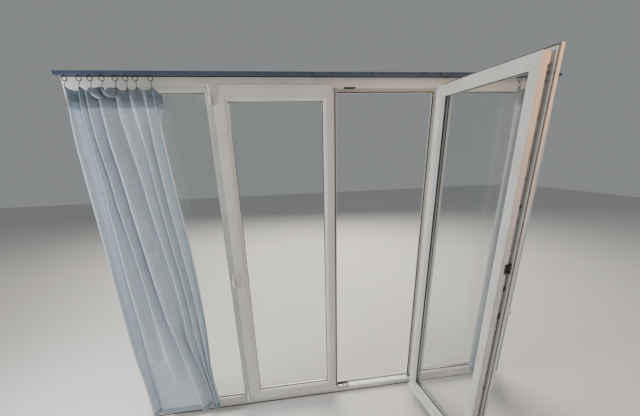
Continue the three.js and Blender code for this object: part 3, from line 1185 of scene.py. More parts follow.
    def build_threshold(self) -> None:
        """Lay the threshold: a round nose, a ribbed metal strip in its groove and an upstand outside."""
        half = self.door_rebate - self.gap
        section = rounded([
            (0, -35), (34, -35, 9.0), (34, -15), (31.0, -14), (31.0, 14), (34, 15), (41, 19), (42, 21),
            (42, 35, 4.0), (0, 35),
        ], 5)
        sill = bar("threshold_profile", section, at(half, 0, 0), UP, 2 * half, mitred=False, **SEAMLESS)
        for sign in (-1, 1):
            corner = [(sign * x, y) for x, y in self.lip_clearance(self.door_lip, 1, 700)]
            carved(sill, column("lip_notch", corner, -5, 65))
        carved(sill, block("keep_seat", (19.8, -29.2, self.keep_seat), (114.2, 14.2, 60), 1.0))
        bevelled(sill, 0.35)
        fit(sill, PVC, ["threshold"])
        ribs = [(31.1, 13.6), (31.1, -13.6)]
        for y in self.rib_rows:
            ribs += [(32.8, y - 1.6), (33.6, y - 1.0), (33.6, y + 1.0), (32.8, y + 1.6)]
        strip = bar("threshold_strip", ribs, at(half - 6, 0, 0), UP, 2 * half - 12, mitred=False, **SEAMLESS)
        fit(strip, ALUMINIUM)

    def build_sealing_and_shadow_strip(self) -> None:
        """Run a dark rubber strip along the frame's foot, where it meets the floor: partly a seal, partly
        painted shade that stands for the shadow gap at the floor.
        """
        # painted shade: the strip's dark rubber stands for the shadow gap under the frame
        strip = [(0.2, -37.6), (0.2, -35.1), (4.6, -35.1), (5.0, -35.4), (3.4, -37.6)]
        seal = bar("sealing_and_shadow_strip", strip, at(self.half - 2, 0, 0), UP, 2 * self.half - 4, mitred=False,
                   **SEAMLESS)
        fit(seal, RUBBER)

    def build_door_rubber(self) -> None:
        """Press a rubber seal into the lip round the doorway."""
        lip, seat = self.lip - 5.0, self.lip_inside
        seal = rounded([
            (lip - 1.4, seat + 1.4), (lip - 1.4, seat - 0.6), (lip - 2.2, seat - 4.2, 0.8),
            (lip + 2.0, seat - 3.6, 0.8), (lip + 1.4, seat - 0.6), (lip + 1.4, seat + 1.4),
        ], 2)
        x, top, stops = self.door_rebate, self.height - self.face, [Cut(at(0, 0, self.seal_foot), DOWN)]
        sides = (
            (at(-x, 0, top), DOWN, 2 * x, []),
            (at(-x, 0, 0), RIGHT, top, stops),
            (at(x, 0, top), LEFT, top, stops),
        )
        pieces = [
            bar(f"door_rubber_{i}", seal, origin, inwards, length, cuts=cuts, **SEAMLESS)
            for i, (origin, inwards, length, cuts) in enumerate(sides)
        ]
        fit(joined("door_rubber", pieces), RUBBER)


@dataclass
class Leaf:
    """One inward opening leaf, modelled closed and then turned on its hinges to where it rests."""

    body: Body
    left: float
    right: float
    hinge_side: int
    degrees: float = 0.0
    top: float = 2014.0
    bottom: float = 38.0
    foot: float = 46.0
    inner: float = -57.0
    outer: float = 13.0
    overlap: float = 20.0
    overlap_back: float = -40.0
    face: float = 52.0
    sight: float = 72.0
    lip_inside: float = -4.0
    slope: float = 15.0
    groove: Pair = (-37.3, -20.7)
    slot: float = -31.6
    sunk: float = 3.3
    ribs: tuple[float, ...] = (-1.0, -6.5, -12.0, -17.0)
    pin: Pair = (620.0, -62.0)
    hinges: tuple[tuple[str, float], ...] = (("bottom", 96.0), ("middle", 975.0), ("top", 1966.0))
    drip_end: float = 572.0

    @property
    def name(self) -> str:
        """The leaf's name, which its pieces' names start with."""
        return self.body.value

    def hang(self, piece: Piece) -> Piece:
        """Turn a piece with the leaf.

        Args:
            piece: The piece, as the leaf is closed.

        Returns:
            The same piece, where the leaf rests.
        """
        if self.degrees:
            select(piece)
            pin = Matrix.Translation(at(self.hinge_side * self.pin[0], self.pin[1], 0))
            piece.matrix_world = pin @ Matrix.Rotation(math.radians(self.degrees), 4, "Z") @ pin.inverted()
            bpy.ops.object.transform_apply(location=True, rotation=True, scale=True)
        return piece

    def add(self, piece: Piece, finish: Finish, slot: Slot | None = None,
            replaces: Sequence[str] = ()) -> Piece:
        """Hang a piece on the leaf and dress it, for CAD nodes that are named without the leaf's name."""
        return fit(self.hang(piece), finish, [f"{self.name}_{node}" for node in replaces], self.body)

    def section(self) -> Outline:
        """The sash's profile: an overlap with a rubber seat at its edge, a fitting groove beside the overlap,
        ribs from there to the outer corner, and a lip that slopes outside.

        Returns:
            Its corners in millimetres.
        """
        wide, out, back, (near, far) = self.overlap, self.outer, self.overlap_back, self.groove
        ribs = [(wide + sink, y + side) for y in self.ribs for sink, side in ((0, 1.0), (0.9, 0), (0, -1.0))]
        return rounded([
            (0, self.inner, 4), (self.face, self.inner), (self.face, self.lip_inside),
            (self.sight, self.lip_inside, 0.8), (self.sight, self.lip_inside + 4, 1.5),
            (self.sight - self.slope, out, 3), (wide, out, 2), (wide, 8.6), (wide + 2.0, 8.0),
            (wide + 2.0, 5.4), (wide, 4.8), *ribs, (wide, far), (wide + self.sunk, far),
            (wide + self.sunk, self.slot), (wide + 13, self.slot), (wide + 13, near + 0.6), (wide, near),
            (wide, back), (6.5, back), (6.5, back - 1.5), (1.5, back - 1.5), (1.5, back), (0, back, 0.8),
        ])

    def meeting_section(self) -> Outline:
        """The profile of a stile that the other leaf laps over: the sash without its own overlap.

        Returns:
            Its corners in millimetres.
        """
        wide, out = self.overlap, self.outer
        return rounded([
            (wide, self.inner, 3), (self.face, self.inner), (self.face, self.lip_inside),
            (self.sight, self.lip_inside, 0.8), (self.sight, self.lip_inside + 4, 1.5),
            (self.sight - self.slope, out, 3), (wide, out, 0.8),
        ])

    def edge_rubber(self) -> Outline:
        """The seal in the overlap's back that presses on the frame.

        Returns:
            Its corners in millimetres.
        """
        back = self.overlap_back
        return rounded([
            (1.7, back - 1.4), (6.3, back - 1.4), (6.3, back + 0.6), (5.4, back + 4.2, 0.8),
            (0.7, back + 4.5, 0.8), (1.3, back + 0.6),
        ], 2)

    def glaze(self) -> None:
        """Glaze the leaf."""
        edges = (self.left + self.face, self.right - self.face, self.bottom + self.face, self.top - self.face)
        glazing = Glazing(f"{self.name}_glazing", edges, self.inner, self.body, self.hang)
        glazing.install(f"{self.name}_beads", f"{self.name}_glass")

    def build_sash(self, stiles: dict[str, Sequence[Corner]], cuts: Sequence[Cut]) -> None:
        """Make the four sash members.

        Args:
            stiles: The left and the right stile's CAD node, each with its profile.
            cuts: What trims the rails' ends.
        """
        width, height = self.right - self.left, self.top - self.bottom
        foot = Cut(at(0, 0, self.foot), DOWN)
        (left, left_section), (right, right_section) = stiles.items()
        members = (
            (left, left_section, at(self.left, 0, self.bottom), RIGHT, height, [foot]),
            (right, right_section, at(self.right, 0, self.top), LEFT, height, [foot]),
            ("top_rail", self.section(), at(self.left, 0, self.top), DOWN, width, cuts),
            ("bottom_rail", self.section(), at(self.right, 0, self.bottom), UP, width, [foot, *cuts]),
        )
        for node, section, origin, inwards, length, trims in members:
            member = bar(f"{self.name}_{node}_profile", section, origin, inwards, length, cuts=trims)
            self.add(member, PVC, Slot.PLASTIC, [node])

    def build_edge_rubber(self, cuts: Sequence[Cut], right_too: bool) -> None:
        """Press the overlap's seal in along the leaf's top and left side.

        Args:
            cuts: What trims it.
            right_too: Whether it runs down the right side as well.
        """
        width, height = self.right - self.left, self.top - self.bottom
        sides = [(at(self.left, 0, self.top), DOWN, width), (at(self.left, 0, self.bottom), RIGHT, height)]
        if right_too:
            sides.append((at(self.right, 0, self.top), LEFT, height))
        foot = Cut(at(0, 0, self.foot), DOWN)
        bars = [
            bar(f"{self.name}_rubber_{i}", self.edge_rubber(), *side, cuts=[foot, *cuts], **SEAMLESS)
            for i, side in enumerate(sides)
        ]
        self.add(joined(f"{self.name}_overlap_rubber", bars), GREY_RUBBER)

    def build_drip_rail(self, x0: float, x1: float) -> None:
        """Fix a drip rail along the leaf's foot, outside, with a groove under its nose and capped ends.

        Args:
            x0: Where it starts.
            x1: Where it ends.
        """
        low, back = self.bottom + self.overlap + 4, self.outer + 0.3
        section = rounded([
            (low, back), (low, back + 19), (low + 2.5, back + 20), (low + 2.5, back + 23), (low, back + 24),
            (low, back + 26, 1.0), (low + 4, back + 26, 1.5), (low + 22, back + 8, 3.0),
            (low + 22, back, 0.5),
        ])
        rail = bar(f"{self.name}_drip_profile", section, at(x1, 0, 0), UP, x1 - x0, mitred=False, gap=0)
        self.add(rail, PVC, Slot.PLASTIC, ["drip_rail"])

    def build_hinges(self) -> None:
        """Make the three hinges: the leaf's halves and the frame's, each with its knuckle, wing and cap."""
        side = "left" if self.hinge_side < 0 else "right"
        for place, height in self.hinges:
            Hinge(self, height).build(f"{place}_{side}")


@dataclass
class Hinge:
    """One plastic capped hinge: an upper knuckle on the leaf and a lower one on the frame."""

    leaf: Leaf
    height: float
    tall: float = 88.0
    radius: float = 7.0
    wing: float = 3.0
    wing_from: float = 588.0
    joint: float = 2.0
    pin_wall: float = 2.2
    root_back: float = -35.5
    foot: Pair = (-38.3, -35.3)

    def build(self, place: str) -> None:
        """Make both halves and the steel pin that shows between them.

        Args:
            place: The hinge's place and side, as the CAD nodes' names end.
        """
        sign, (x, y) = self.leaf.hinge_side, self.leaf.pin
        half, z = self.tall / 2, self.height
        upper = self.knuckle(f"leaf_knuckle_{place}", z + self.joint, z + half, True)
        face = self.leaf.inner - 0.3
        wing = self.flag(f"leaf_wing_{place}", (self.wing_from, face - self.wing, z + self.joint),
                         (x - 1, face, z + half))
        self.leaf.add(joined(f"leaf_hinge_{place}", [upper, wing]), CAP, Slot.HINGE, [f"hinge_{place}"])
        lower = self.knuckle(f"frame_knuckle_{place}", z - half, z, False)
        root = self.flag(f"frame_root_{place}", (x + 2, y, z - half), (x + 12, self.root_back, z))
        front, back = self.foot
        foot = self.flag(f"frame_foot_{place}", (x - 2, front, z - half), (x + 22, back, z))
        half_piece = joined(f"frame_hinge_piece_{place}", [lower, root, foot])
        fit(half_piece, CAP, [f"frame_hinge_{place}"])
        radius, top = self.radius - self.pin_wall, self.joint + 1
        pin = turned(f"hinge_pin_{place}", [(0, -3), (radius, -3), (radius, top), (0, top)],
                     at(sign * x, y, z), UP, 20)
        fit(pin, ZINC)

    def knuckle(self, name: str, z0: float, z1: float, domed_top: bool) -> Piece:
        """A round knuckle with a dome on its free end and a fine groove under the dome.

        Args:
            name: The piece's name.
            z0: Its foot.
            z1: Its top.
            domed_top: Whether the dome is at the top, or at the foot.

        Returns:
            The knuckle.
        """
        r, tall = self.radius, z1 - z0
        profile = [
            (0, 0), (r - 0.6, 0), (r, 0.6), (r, tall - 9), (r - 0.5, tall - 8.6), (r - 0.5, tall - 8),
            (r, tall - 7.6), (r, tall - 2.6), (r - 0.8, tall - 0.9), (r - 2.6, tall), (0, tall),
        ]
        sign, (x, y) = self.leaf.hinge_side, self.leaf.pin
        foot, axis = (z0, UP) if domed_top else (z1, DOWN)
        return turned(name, profile, at(sign * x, y, foot), axis)

    def flag(self, name: str, low: Corner, high: Corner) -> Piece:
        """A rounded plate, given between two corners for the right side, on the hinge's own side."""
        x0, x1 = sorted((self.leaf.hinge_side * low[0], self.leaf.hinge_side * high[0]))
        return block(name, (x0, *low[1:]), (x1, *high[1:]), 1.0, 2)


@dataclass
class PassiveLeaf(Leaf):
    """The left leaf, which stays closed: it carries the overlap profile and the edge lever.

    Attributes:
        meeting: X where its own sash ends.
        cover: X where the overlap profile ends.
        pocket: The lever's pocket, from its foot to its top.
        lever: The lever, from its foot to its top.
    """

    meeting: float = -2.0
    cover: float = 18.0
    pocket: Pair = (900.0, 1120.0)
    lever: Pair = (905.0, 1115.0)

    def build(self) -> None:
        """Make the sash, its overlap profile with the lever in its pocket, and the rest."""
        past = Cut(at(self.meeting, 0, 0), RIGHT)
        self.build_sash({"hinge_stile": self.section(), "meeting_stile": self.meeting_section()}, [past])
        self.build_edge_rubber([past], right_too=False)
        self.glaze()
        self.build_overlap_profile()
        self.build_edge_lever()
        self.build_drip_rail(-self.drip_end, self.meeting - 6)
        self.build_hinges()

    def build_overlap_profile(self) -> None:
        """Screw the profile that covers the joint to the meeting stile, with its pocket and its rubber."""
        x0, x1 = self.meeting + 0.3, self.cover
        foot, tall = self.bottom + self.overlap, self.top - self.bottom - 2 * self.overlap
        section = rounded([
            (x0, -35, 0.6), (x1 - 9, -35), (x1 - 9, -33.6), (x1 - 4, -33.6), (x1 - 4, -35), (x1, -35, 1.2),
            (x1, -25.2), (x1 - 1.5, -24.6), (x1 - 1.5, -7.4), (x1, -6.8), (x1, 3), (x1 - 1.2, 3.4),
            (x1 - 1.2, 5.6), (x1, 6), (x1, 13, 2.5), (x0, 13, 0.6),
        ])
        piece = column(f"{self.name}_cover_profile", section, foot, tall)
        low, high = self.pocket
        carved(piece, block("lever_pocket", (x1 - 3, -24.3, low), (x1 + 5, -7.7, high), 0.01, 1))
        self.add(bevelled(piece, 0.3), PVC, Slot.PLASTIC, ["overlap_profile"])
        rubber = rounded([
            (x1 - 8.8, -33.8), (x1 - 8.8, -35.2), (x1 - 9.4, -38.6, 0.8), (x1 - 5.2, -39.2, 0.8),
            (x1 - 4.2, -35.2), (x1 - 4.2, -33.8),
        ], 2)
        self.add(column(f"{self.name}_cover_rubber", rubber, foot, tall), RUBBER)

    def build_edge_lever(self) -> None:
        """Lay the lever of the shoot bolts in its pocket: a plate with a thumb hollow and two screws."""
        face, (low, high) = self.cover, self.lever
        lever = block(f"{self.name}_lever", (face - 2.7, -23.8, low), (face, -8.2, high), 0.8)
        hollow = block("thumb_hollow", (face - 1.6, -20.5, low + 23), (face + 4, -11.5, low + 61), 1.4)
        slot = block("lever_slot", (face - 1.2, -17.5, low + 75), (face + 4, -14.5, high - 35), 0.01, 1)
        carved(lever, hollow, slot)
        self.add(lever, ZINC, Slot.STEEL, ["edge_lever"])
        for i, z in enumerate((low + 9, high - 9)):
            self.add(screw(f"{self.name}_lever_screw_{i}", at(face, -16, z), RIGHT, 2.8), ZINC, Slot.STEEL)


@dataclass
class ActiveLeaf(Leaf):
    """The right leaf, which stands open: it carries the lock and the handle.

    Attributes:
        lock_y: The middle of the lock's cams, outboard.
        lock: The lock strip, from its foot to its top.
        waist: Where the strip is narrower.
        cams: Heights of its mushroom cams.
        joints: Heights where its plates meet.
        screws: Heights of its screws.
        guides: Height and length of each guide of the rod.
        catch_ends: The catch, from its foot to its top.
        handle: The handle's distance from the leaf's edge, and its height.
        rose_thick: How far its rose stands out.
        neck: How far its lever stands off the rose.
    """

    lock_y: float = -26.2
    lock: Pair = (98.0, 1954.0)
    waist: Pair = (300.0, 1236.0)
    cams: tuple[float, ...] = (140.0, 520.0, 1450.0, 1925.0)
    joints: tuple[float, ...] = (300.0, 760.0, 1320.0, 1700.0)
    screws: tuple[float, ...] = (
        112.0, 230.0, 370.0, 610.0, 700.0, 820.0, 900.0, 1000.0, 1260.0, 1390.0, 1560.0, 1640.0, 1780.0, 1898.0,
        1948.0,
    )
    guides: tuple[Pair, ...] = ((1080.0, 26.0), (940.0, 34.0))
    catch_ends: Pair = (1152.0, 1198.0)
    handle: Pair = (40.0, 938.0)
    rose_thick: float = 11.3
    neck: float = 32.5

    def build(self) -> None:
        """Make the sash and its glazing, lock, handle, drip rail and hinges."""
        self.build_sash({"lock_stile": self.section(), "hinge_stile": self.section()}, [])
        self.build_edge_rubber([], right_too=True)
        self.glaze()
        self.build_lock()
        self.build_handle()
        self.build_drip_rail(self.left + self.overlap + 6, self.drip_end)
        self.build_hinges()

    def build_lock(self) -> None:
        """Screw the lock strip into the edge groove: its plates, cams, screws, guides, rod and catch."""
        face, middle = self.left + self.overlap + 3.0, self.lock_y
        front, (low, high), (waist_low, waist_high) = face - 2.6, self.lock, self.waist
        strip = block(f"{self.name}_strip", (front, -31.4, low), (face, -21.0, high), 0.7)
        slots = [
            block(f"cam_slot_{i}", (front - 4, middle - 3, z - 22), (front + 1.4, middle + 3, z + 22), 1.0)
            for i, z in enumerate(self.cams)
        ]
        joints = [
            block(f"plate_joint_{i}", (front - 4, -33, z - 0.7), (front + 1.2, -20, z + 0.7), 0.01, 1)
            for i, z in enumerate(self.joints)
        ]
        waist = block("strip_waist", (front - 4, -34, waist_low), (face + 1, -28.8, waist_high), 1.0)
        carved(strip, *slots, *joints, waist)
        self.add(strip, DULL_ZINC, Slot.BRONZE)
        # partly painted shade: the blackened rod shows beside the strip and through its waist, standing for the
        # dark shadow in the groove
        rod = block(f"{self.name}_drive_rod", (face + 1.6, -36.4, low - 8), (face + 5, -31.8, high + 8), 0.4)
        self.add(rod, BLACKENED, Slot.BRONZE)
        self.add(joined(f"{self.name}_catch", self.catch()), BLACKENED, Slot.BRONZE, ["lock_strip"])
        mushroom = [
            (0, 0), (3.0, 0), (3.0, 3.2), (4.3, 3.8), (4.3, 5.2), (3.4, 6.2), (1.6, 6.2), (1.4, 5.0), (0, 5.0),
        ]
        for i, z in enumerate(self.cams):
            cam = turned(f"{self.name}_cam_{i}", mushroom, at(front + 1.2, middle, z), LEFT, 22)
            self.add(cam, BRONZE, Slot.BRONZE)
        for i, z in enumerate(self.screws):
            across = -24.4 if waist_low < z < waist_high else middle
            self.add(screw(f"{self.name}_strip_screw_{i}", at(front, across, z), LEFT), BRONZE, Slot.BRONZE)
        for i, (z, tall) in enumerate(self.guides):
            foot, top = z - tall / 2, z + tall / 2
            guide = block(f"{self.name}_strip_guide_{i}", (front - 1.6, -34, foot), (front + 0.4, -23, top),
                          0.8)
            carved(guide, block("guide_slot", (front - 4, -31, foot + 6), (front - 0.6, -26, top - 6), 0.8))
            self.add(guide, BLACKENED, Slot.BRONZE)

    def catch(self) -> list[Piece]:
        """The catch across the sash's edge: a plate on a shoulder that rises from the strip.

        Returns:
            Its plate and its shoulder.
        """
        inside, (low, high) = self.left + self.overlap, self.catch_ends
        edge = inside - 0.3
        base = block("catch_plate", (edge - 3.5, -39.5, low), (edge, -8, high), 1.6, 3)
        carved(base, block("catch_slot", (edge - 8, -26, low + 12), (edge - 1.4, -14, high - 12), 2.0, 3))
        return [base, block("catch_shoulder", (edge - 1, -28, low + 8), (inside + 0.2, -22, high - 8), 0.2, 1)]

    def build_handle(self) -> None:
        """Fit the lever handle: an oval rose, a neck that grows into it, and a lever level with the hinges."""
        (backset, z), back = self.handle, self.inner - 0.3
        x, front = self.left + backset, back - self.rose_thick
        rose = rounded([(-15, -34, 13), (15, -34, 13), (15, 34, 13), (-15, 34, 13)], 6)
        base = plate(f"{self.name}_rose", rose, at(x, back, z), RIGHT, UP, 11, 2.6, 3)
        self.add(base, COATED, Slot.HANDLE, ["handle_rosette"])
        profile = [(0, 0), (10.5, 0), (9.4, 3), (8.6, 8), (8.4, 26), (9, 34), (0, 34)]
        neck = turned(f"{self.name}_neck", profile, at(x, front, z), -OUTBOARD, 32)
        lever = rounded([
            (-14, -14, 13), (-14, 14, 13), (13, 13.4, 10), (40, 9.6), (131, 8, 7.6), (131, -8, 7.6),
            (40, -9.6), (13, -13.4, 10),
        ], 5)
        grip = plate(f"{self.name}_grip", lever, at(x, front - self.neck, z), RIGHT, UP, 11, 3.8, 4)
        self.add(joined(f"{self.name}_lever_handle", [neck, grip]), COATED, Slot.HANDLE, ["handle"])


@dataclass
class Keeps:
    """The keeps that catch the leaf's fittings: one on the threshold and two on the head.

    Attributes:
        steps: Heights of the threshold's top and of the head's underside.
        thick: How far a keep stands off them.
        seat: Height of the seat that is cut for the keep's bed.
    """

    steps: Pair = (34.3, 2005.7)
    thick: float = 5.0
    seat: float = 32.9

    def build(self) -> None:
        """Make the three keeps with their slots and screws."""
        self.build_threshold_keep(self.steps[0])
        self.build_head_keeps(self.steps[1])

    def build_threshold_keep(self, low: float) -> None:
        """Set the keep in its seat: a black bed and plate, a tongue with a pin, and three screws.

        Args:
            low: Height of the threshold's top.
        """
        bed = block("threshold_keep_bed", (20, -29, self.seat), (114, 14, low - 0.1), 0.6)
        fit(bed, BLACK_STEEL)
        top, tongue_top = low + self.thick, low + 3.2
        keep = block("threshold_keep_plate", (12, -4, low), (104, 13, top), 1.2)
        carved(keep, block("bolt_slot", (36, 0, low + 1.2), (62, 9, low + 9), 1.5),
               block("hook_slot", (70, 1.5, low + 1.6), (84, 7.5, low + 9), 1.2))
        fit(keep, BLACK_STEEL, ["threshold_keep"])
        tongue = block("threshold_keep_tongue", (30, -26, low), (110, -4.4, tongue_top), 1.4)
        carved(tongue, block("roller_gap", (60, -21, low - 3), (75, -9, low + 9), 2.5),
               block("pin_gap", (82, -23, low - 3), (102, -10, low + 9), 3.5))
        fit(tongue, ZINC)
        profile = [(0, 0), (4.2, 0), (4.2, 3.4), (3.4, 4.2), (0, 4.2)]
        fit(turned("threshold_keep_pin", profile, at(90, -17, low), UP, 20), ZINC)
        for i, (x, y, z) in enumerate(((22.0, 4.5, top), (94.0, 4.5, top), (45.0, -15.0, tongue_top))):
            fit(screw(f"threshold_keep_screw_{i}", at(x, y, z), UP), ZINC)

    def build_head_keeps(self, high: float) -> None:
        """Screw a slotted plate under the head at the meeting stiles, and a guide at the hinge side.

        Args:
            high: Height of the head's underside.
        """
        low = high - self.thick
        upper = block("head_keep_plate", (62, -34, low), (124, -16, high), 1.0)
        carved(upper, block("cam_slot", (82, -38, high - 9), (104, -21, high - 1.8), 1.2))
        fit(upper, BLACK_STEEL, ["head_keep_meeting"])
        for i, x in enumerate((70.0, 116.0)):
            fit(screw(f"head_keep_screw_{i}", at(x, -25, low), DOWN, 3.0), ZINC)
        guide = block("head_guide", (482, -34, high - 4), (512, -16, high), 1.6, 3)
        carved(guide, block("guide_slot", (490, -38, high - 9), (504, -22, high - 1.6), 1.0))
        fit(guide, CAP, ["head_keep_hinge_side"])


@dataclass
class Track:
    """The cover strip over the head and the curtain track that hangs from its brackets.

    Attributes:
        half: Half the cover strip's length.
        cover: The strip's lower and upper edge.
        cover_front: Its face.
        front: The track's face.
        back: The track's far side.
        bottom: Its underside.
        top: Its upper side.
        end: X of its ends.
        stop: How wide the stop in each end is.
        brackets: X of its brackets.
        clip: The clip over the joint of its two lengths, from its left to its right.
        arm: A bracket arm's underside and upper side.
        ring: Radius of a glider's ring.
        hook: Radius of a hook's wire.
    """

    half: float = 1280.0
    cover: Pair = (2050.3, 2072.0)
    cover_front: float = -22.0
    front: float = -96.0
    back: float = -74.0
    bottom: float = 2046.0
    top: float = 2062.0
    end: float = 1274.0
    stop: float = 3.0
    brackets: tuple[float, ...] = (-1180.0, -640.0, -90.0, 90.0, 640.0, 1180.0)
    clip: Pair = (-11.0, -4.0)
    arm: Pair = (2056.0, 2066.0)
    ring: float = 11.0
    hook: float = 1.5

    def build(self) -> None:
        """Make the strip, its brackets and both lengths of track."""
        low, high = self.cover
        board = [(low, self.cover_front), (low, 35), (high, 35), (high, self.cover_front)]
        strip = bar("cover_board", board, at(self.half, 0, 0), UP, 2 * self.half, mitred=False, gap=0,
                    edge=2.0)
        arms = [self.bracket(x) for x in self.brackets]
        # painted shade: the cover strip and its brackets are dark to stand for the shadow line over the head
        fit(joined("cover_strip_and_brackets", [strip, *arms]), SHADOW_LINE_STRIP,
            ["head_cover_strip"])
        for side, sign in (("left", -1), ("right", 1)):
            x0, x1 = sorted((sign * 1.0, sign * self.end))
            rail = bar(f"track_rail_{side}", self.section(), at(x1, 0, 0), UP, x1 - x0, mitred=False, gap=0,
                       edge=0.25)
            x0, x1 = sorted((sign * self.end, sign * (self.end - self.stop)))
            stop = block(f"track_stop_{side}", (x0, self.front + 0.4, self.bottom + 0.4),
                         (x1, self.back - 0.4, self.top - 0.4), 0.8)
            fit(joined(f"track_{side}", [rail, stop]), TRACK_PAINT,
                [f"curtain_track_{side}"])
        (x0, x1), near, over = self.clip, self.front - 1.3, self.top + 1.5
        clip = block("track_joint_clip", (x0, near, self.bottom - 0.6), (x1, self.front - 0.05, over), 0.5)
        lip = block("track_joint_lip", (x0, near, self.top + 0.1), (x1, self.front + 12, over), 0.5)
        fit(joined("track_joint", [clip, lip]), ZINC)

    def section(self) -> Outline:
        """The track's profile, up and outboard: a box with a slot along its underside and a rib on top.

        Returns:
            Its corners in millimetres.
        """
        low, high, near, far = self.bottom, self.top, self.front, self.back
        middle = (near + far) / 2
        return [
            (low, near), (low, middle - 4), (low + 1.6, middle - 4), (low + 1.6, near + 1.8),
            (high - 4, near + 1.8), (high - 4, far - 1.8), (low + 1.6, far - 1.8), (low + 1.6, middle + 4),
            (low, middle + 4), (low, far), (high - 1.5, far), (high, far - 1.5), (high, near + 1.5),
            (high - 1.5, near),
        ]

    def glider(self, name: str, x: float, tip: Vector) -> None:
        """Hang a glider under the track: a stem, an open ring that faces the cabin and a bent hook.

        Args:
            name: The piece's name.
            x: Its middle.
            tip: Where its hook holds the heading, in millimetres.
        """
        y, low = (self.front + self.back) / 2, self.bottom
        foot = block(f"{name}_foot", (x - 4, y - 3, low + 0.2), (x + 4, y + 3, low + 3.4), 0.8)
        stem = turned(f"{name}_stem", [(0, 0), (1.7, 0), (1.5, 2.2), (1.5, 4.4), (0, 4.4)],
                      at(x, y, low - 3.4), UP, 12)
        bpy.ops.mesh.primitive_torus_add(
            major_radius=self.ring * MM, minor_radius=1.9 * MM, major_segments=32, minor_segments=10,
            location=at(x, y, low - self.ring - 2), rotation=(math.pi / 2, 0, 0))
        eye = close(start(f"{name}_eye"))
        z = low - 2 * self.ring - 2
        bend = [
            (x, y, z), (x + 0.4, y, z - 4), (tip.x, tip.y - 3.2, tip.z + 4), (tip.x, tip.y - 3.4, tip.z - 8),
            (tip.x, tip.y - 2.2, tip.z - 13),
        ]
        hook = wire(f"{name}_hook", [at(*corner) for corner in bend], self.hook)
        fit(joined(name, [foot, stem, eye, hook]), NYLON)

    def bracket(self, x: float) -> Piece:
        """A bracket arm from the cover strip to the track, with a round rib.

        Args:
            x: Its middle.

        Returns:
            The arm.
        """
        (low, high), end = self.arm, self.cover_front + 3
        arm = block("bracket_arm", (x - 10, self.back + 0.3, low), (x + 10, end, high), 1.2)
        rib = block("bracket_rib", (x - 2, self.back + 6, low - 1.8), (x + 2, end, low + 1), 0.8)
        return joined("bracket", [arm, rib])


# how the Cloth simulation takes the weave: light, soft to bend and slowed by air
LIGHT_COTTON = {
    "quality": 6, "mass": 0.0004, "tension_stiffness": 40, "compression_stiffness": 40, "shear_stiffness": 8,
    "bending_stiffness": 0.04, "air_damping": 3,
}
# X of each glider's middle
GLIDERS = {
    "left": (-1237, -1177, -1132, -1082, -1026, -981, -939, -873),
    "right": (1030, 1085, 1140, 1192, 1242),
}


@dataclass(frozen=True)
class Row:
    """Where a curtain's crests stand at one height.

    Attributes:
        height: Height in millimetres.
        crests: X of each crest.
    """

    height: float
    crests: tuple[float, ...]


@dataclass(frozen=True)
class Flop:
    """A stretch of heading between two hooks that flops forward over itself.

    Attributes:
        start: X where it starts.
        end: X where it ends.
        turn: How far it turns over, in degrees.
        tall: How much of the heading turns, in millimetres.
        lift: How far the cloth below it is pulled up.
    """

    start: float
    end: float
    turn: float
    tall: float = 48.0
    lift: float = 20.0


